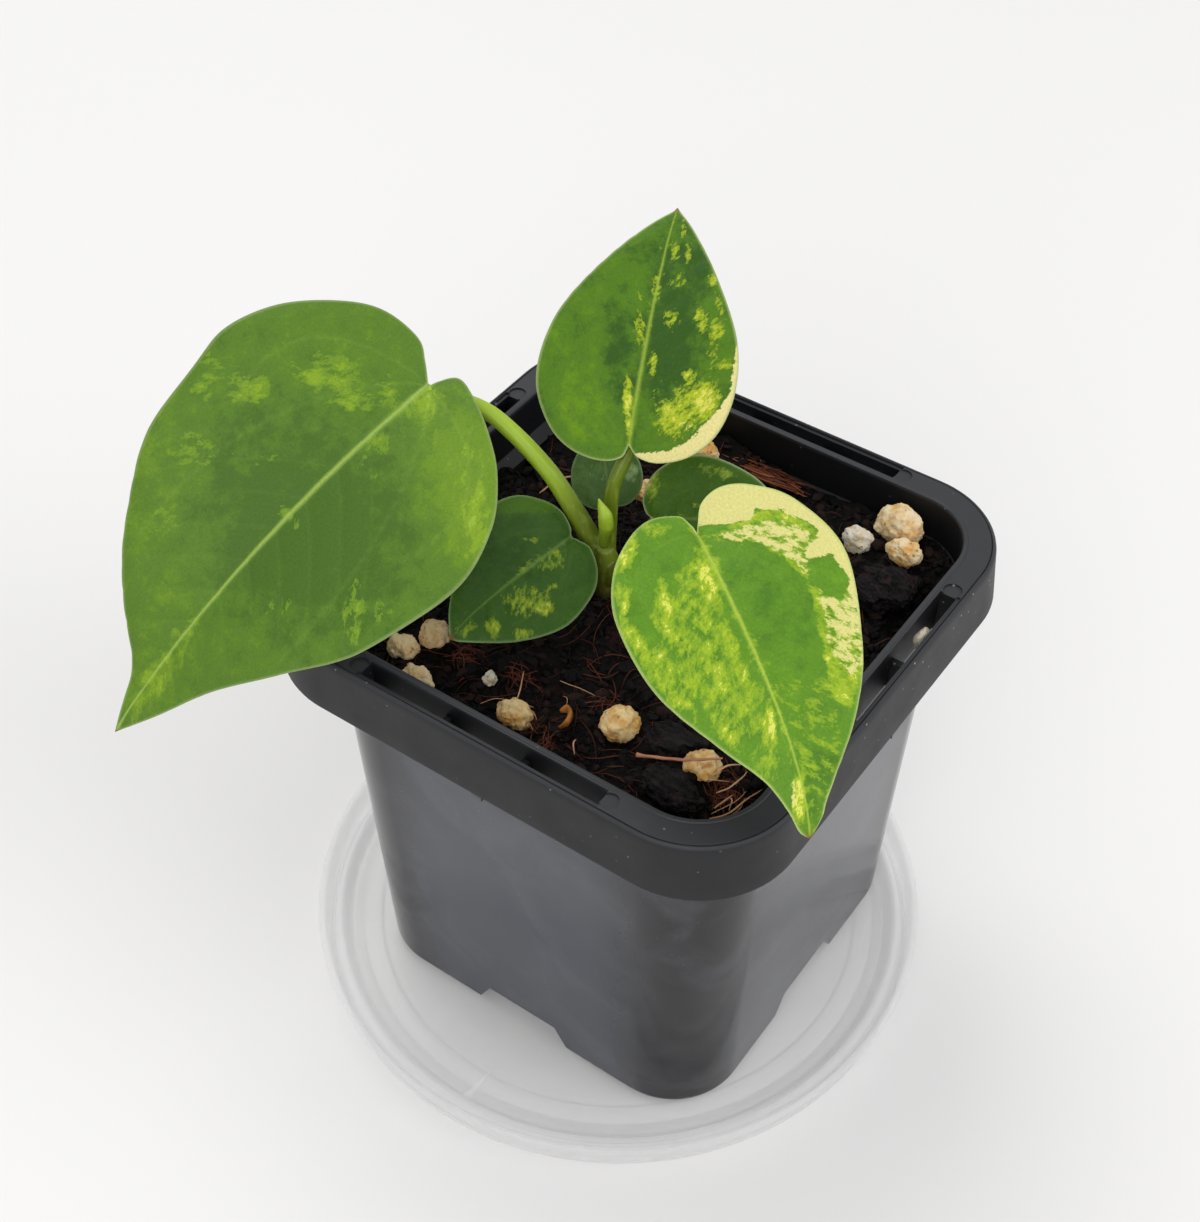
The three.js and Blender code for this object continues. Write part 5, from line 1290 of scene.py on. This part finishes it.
def makeLeaf(name, leaf):
    ribs, rows, length = leaf["ribs"], leaf["rows"], leaf["length"]
    flats, edgeAways, halves, start, faces = [], [], [], 0, []
    outlines = {}
    for side, half in ((1, leaf["right"]), (-1, leaf["left"])):
        outline = halfOutline(leaf, half, ribs)
        outlines[side] = outline
        root = length * (np.arange(ribs + 1) / ribs) ** 1.8
        roots = np.column_stack([root, midribSwing(leaf, root)])
        share = (np.arange(rows + 1) / rows)[None, :, None]
        grid = roots[:, None, :] * (1 - share) + outline[:, None, :] * share
        flats.append(grid.reshape(-1, 2))
        halves.append(np.full(len(flats[-1]), side))
        edgeAways.append(distanceTo(flats[-1], outline))
        index = start + np.arange((ribs + 1) * (rows + 1)).reshape(ribs + 1, rows + 1)
        p, q, r, s = index[:-1, :-1], index[1:, :-1], index[1:, 1:], index[:-1, 1:]
        order = (p, s, r, q) if side > 0 else (p, q, r, s)
        faces.append((np.stack(order, axis=-1).reshape(-1, 4), index[:, -1]))
        start += index.size
    flat, edgeAway, halfOf = np.vstack(flats), np.concatenate(edgeAways), np.concatenate(halves)
    ribAway = np.abs(flat[:, 1] - midribSwing(leaf, flat[:, 0]))
    taper = np.clip(1 - flat[:, 0] / (length * 1.05), 0.12, 1)
    ribWide = leaf["ribWide"] * (0.3 + 0.7 * taper)
    ribStrength = np.exp(-(ribAway / ribWide) ** 2) * np.clip((flat[:, 0] + 1.5) / 1.5, 0, 1)
    sideVeins, veinAway = np.zeros(len(flat)), np.full(len(flat), 9.0)
    for side in (1, -1):
        mine = halfOf == side
        for line, weight in veinLines(leaf, side):
            away = distanceTo(flat[mine], line)
            sideVeins[mine] = np.maximum(sideVeins[mine], weight * np.exp(-(away / blade["veinWide"]) ** 2))
            veinAway[mine] = np.minimum(veinAway[mine], away)
    sideVeins *= np.clip(edgeAway / 2.5, 0, 1)
    quilt = blade["quilt"] * np.clip(veinAway, 0, 1.6) - blade["veinGroove"] * np.exp(-(veinAway / 0.5) ** 2)
    ripple = (blade["ripple"] * np.exp(-edgeAway / blade["rippleReach"])
              * np.sin(flat[:, 0] / 2.6 + 2.2 * halfOf) * np.clip(length / 50, 0.3, 1))
    swell = grainNoise(np.column_stack([flat, flat[:, 0] * 0]), blade["swellSize"], 8, 2)
    relief = quilt + ripple + blade["swell"] * swell * np.clip(edgeAway / 2, 0, 1)
    thick = np.interp(edgeAway, (0, blade["edgeWide"]), (blade["edgeHalf"], blade["half"]))
    beside = np.exp(-((ribAway - 1.5 * ribWide) / (0.8 * ribWide)) ** 2) * taper
    groove = blade["ribRise"] * ribStrength - blade["ribGroove"] * beside
    above = leafPoints(leaf, flat[:, 0], flat[:, 1], thick + relief + groove)
    keel = blade["ribBelow"] * ribStrength * taper + blade["veinBelow"] * sideVeins
    below = leafPoints(leaf, flat[:, 0], flat[:, 1], relief - thick - keel)
    low, high = (np.array(corner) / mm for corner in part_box(name))
    points = np.clip(np.vstack([above, below]), low, high)
    count = len(flat)
    quads, kinds = [], []
    for quad, border in faces:
        quads += [quad, quad[:, ::-1] + count]
        kinds += [np.zeros(len(quad), int), np.ones(len(quad), int)]
        strip = np.stack([border[:-1], border[1:], border[1:] + count, border[:-1] + count], axis=-1)
        quads.append(strip)
        kinds.append(np.zeros(len(strip), int))
    quads, kinds = np.vstack(quads), np.concatenate(kinds)
    # Weld the two halves at the midrib, and drop the faces that shrink to nothing at the joint and tip
    keys = np.column_stack([np.vstack([flat, flat]), np.repeat([0, 1], count)])
    _, first, back = np.unique(np.round(keys * 500).astype(np.int64), axis=0, return_index=True,
                               return_inverse=True)
    quads = back.reshape(-1)[quads]
    kept, keptKinds = [], []
    for quad, kind in zip(quads.tolist(), kinds):
        face = list(dict.fromkeys(quad))
        if len(face) > 2:
            kept.append(face)
            keptKinds.append(kind)
    looks = [makeLeafMaterial(name, leaf), makeLeafBackMaterial(name, leaf)]
    made = makeObject(name + "_blade", points[first], kept, looks, faceMaterials=keptKinds)
    work = bmesh.new()
    work.from_mesh(made.data)
    bmesh.ops.recalc_face_normals(work, faces=work.faces)
    work.to_mesh(made.data)
    work.free()
    lime = leaf["stray"] + 0.3 * np.exp(-(ribAway / 1.4) ** 2)
    lime = np.maximum(lime, markStrength(flat, leaf["limeMarks"]))
    cream = markStrength(flat, leaf.get("creamMarks", ()))
    for zone, strength in leaf.get("limeZones", ()):
        lime = np.maximum(lime, strength * insideZone(flat, zone))
    for zone, strength in leaf.get("creamZones", ()):
        cream = np.maximum(cream, strength * insideZone(flat, zone))
    for zone, strength in leaf.get("plainZones", ()):
        plain = 1 - strength * insideZone(flat, zone)
        lime, cream = lime * plain, cream * plain
    # The shade value carries the painted shade and painted sheen marks together with the blade's own tone
    values = {
        "lime": 1.5 * lime - 0.5, "cream": 1.3 * cream - 0.3, "paintedLightAndTone": sumOfMarks(flat, leaf["paintedLightAndTone"]),
        "vein": np.clip(0.85 * ribStrength + leaf["veinPale"] * sideVeins, 0, 1),
        "edge": 0.8 * np.exp(-(edgeAway / 0.19) ** 2),
        "tip": np.clip((flat[:, 0] - length + 0.7) / 0.5, 0, 1),
        "flat": np.column_stack([flat, np.zeros(count)]),
        "flow": np.column_stack([flat[:, 0] - 0.6 * np.abs(flat[:, 1]), 0.9 * flat[:, 1], np.zeros(count)]),
    }
    for key, value in values.items():
        addPointValues(made, key, np.concatenate([value, value])[first])
    register(made, leaf["slot"], name)


for name, leaf in leaves.items():
    makeLeaf(name, leaf)
print("leaves made")

# Stem, stalks and bud

stalks = {
    "leaf_large": {"points": [(-6.3, -1.2, 74), (-8.9, -1.4, 79.5), (-11.8, -1.8, 84.4), (-14.9, -2.3, 88.8),
                              (-20, -2.9, 93.2), (-24.4, -3.5, 95.7), (-28.2, -5, 97)],
                   "radii": (1.6, 1.4, 1.25, 1.15, 1.1)},
    "leaf_upright": {"points": [(-5.8, -1.3, 74), (-5.8, -0.8, 79.5), (-5.7, -0.6, 83.2), (-5.7, -0.2, 86.7),
                                (-5.5, 0.6, 90)], "radii": (1.2, 1.05, 0.9)},
    "leaf_marbled": {"points": [(-5.6, -1.5, 72.5), (-3.6, -2.3, 75), (1, -5, 83), (8, -8.6, 92)],
                     "radii": (1.3, 1.15, 1.0)},
    "leaf_low": {"points": [(-6, -1.5, 71.5), (-7.2, -3, 75), (-8.4, -4.2, 78.4)],
                 "radii": (0.98, 0.85, 0.72)},
    "leaf_back": {"points": [(-5.4, -0.8, 71.5), (-4.6, 0.8, 73), (-4.4, 3, 74.8), (-4, 4.8, 77)],
                  "radii": (0.92, 0.8, 0.68)},
    "leaf_tiny": {"points": [(-6.2, -0.9, 71.5), (-7.8, 1.4, 72.8), (-10, 5.2, 73.6), (-11, 7.4, 74.8)],
                  "radii": (0.7, 0.6, 0.5)},
}
stem = {
    "points": [(-5.6, -1.2, 61), (-5.7, -1.3, 70), (-5.8, -1.4, 75.6), (-5.8, -1.4, 78.6)],
    "radii": (1.8, 2.0, 2.2, 1.3),
    "voxel": 0.2,
}
bud = {
    "points": [(-5.1, -2.9, 80.6), (-4.7, -3.2, 82.8), (-4.2, -3.5, 85.1), (-4.4, -3.5, 86.9), (-5, -3.4, 88),
               (-5.5, -3.4, 89.2)],
    "radii": (0.55, 0.75, 1.05, 1.0, 0.6, 0.12),
}


# Fresh leaf stalks: waxy, translucent-looking lime above, olive and then brown towards the soil
def makeStalkMaterial():
    material, tree, place = newMaterial("waxy_stalk", [])
    split = addNode(tree, "SeparateXYZ", {0: place}, None)
    drawn = addNode(tree, "Mapping", {"Vector": place, "Scale": (1, 1, 0.25)})
    flecks = {"Vector": drawn, "Scale": 1 / (0.7 * mm), "Detail": 4, "Roughness": 0.55}
    fleck = addNode(tree, "TexNoise", flecks, "Fac")
    tone = layColours(tree, "#66761a", [
        (split[2], 77.5 * mm, 96 * mm, 1, "#687d12"), (split[0], -8.5 * mm, -15 * mm, 1, "#9bb82c"),
        (split[2], 76.5 * mm, 70.5 * mm, 1, "#4d4a1c"), (split[2], 72.5 * mm, 69.5 * mm, 1, "#2c2114"),
        (fleck, 0.5, 0.75, 0.35, "#a9bb58")])
    return finishMaterial(material, tree, [(fleck, 0.08)], {
        "Base Color": tone, "Roughness": 0.38, "IOR": 1.45})


# The stalk widens into a sheath at the stem and has a shallow channel along its upper side
def makeStalks():
    channel = lambda angle, share: (1 - 0.1 * math.exp(-((angle - 1.6) / 0.4) ** 2)
                                    + 0.03 * math.cos(3 * angle) + 0.22 * math.exp(-share / 0.07))
    bodies = [sweepTube(throughPoints(stem["points"], 60), stem["radii"], 36)]
    for name, stalk in stalks.items():
        leaf = leaves[name]
        along, across, out = leafFrame(leaf)
        # The stalk comes up from below and ends just inside the blade
        end = np.array(leaf["joint"]) + 0.8 * along - 0.25 * out
        near = end - 1.3 * out - 0.5 * along
        path = throughPoints(list(stalk["points"]) + [near, end], 90)
        bodies.append(sweepTube(path, stalk["radii"], 28, channel))
    made = makeObject("stem_and_leaf_stalks", *joinBodies(bodies), [makeStalkMaterial()])
    modifier = made.modifiers.new("join", "REMESH")
    modifier.mode = "VOXEL"
    modifier.voxel_size = stem["voxel"] * mm
    smooth = made.modifiers.new("smooth", "SMOOTH")
    smooth.factor, smooth.iterations = 0.5, 3
    applyModifiers(made)
    made.data.polygons.foreach_set("use_smooth", np.full(len(made.data.polygons), True))
    register(made, "stalk", "stem_and_stalks")


# The rolled young leaf: bright lime, with painted shade in the groove along its seam
def makeBudMaterial():
    material, tree, place, streak = newMaterial("rolled_leaf", [(0.8, 3)])
    height = addNode(tree, "SeparateXYZ", {0: place}, 2)
    seam = addNode(tree, "Attribute", {}, "Fac", attribute_name="seam")
    tone = layColours(tree, "#6f8a17", [(height, 81 * mm, 88 * mm, 1, "#9ab62a"),
                                        (streak, 0.5, 0.7, 0.4, "#b5c95e")])
    # Painted shade: a darker line in the groove along the seam
    tone = addNode(tree, "Mix", {0: seam, 6: tone, 7: srgb("#4c6510")}, 2, data_type="RGBA")
    return finishMaterial(material, tree, [(streak, 0.04)], {
        "Base Color": tone, "Roughness": 0.4, "IOR": 1.45})


def makeBud():
    sides, count = 32, 60
    seam = lambda angle: math.exp(-((angle - 4.9) / 0.28) ** 2)
    fold = lambda angle, share: 1 - 0.28 * seam(angle) * math.sin(math.pi * min(share * 1.05, 1))
    points, faces = sweepTube(throughPoints(bud["points"], count), bud["radii"], sides, fold)
    made = makeObject("bud_leaf", points, faces, [makeBudMaterial()])
    addPointValues(made, "seam", [seam(2 * math.pi * (i % sides) / sides) for i in range(len(points))])
    register(made, "bud", "bud")


makeStalks()
makeBud()
print("stem, stalks and bud made")
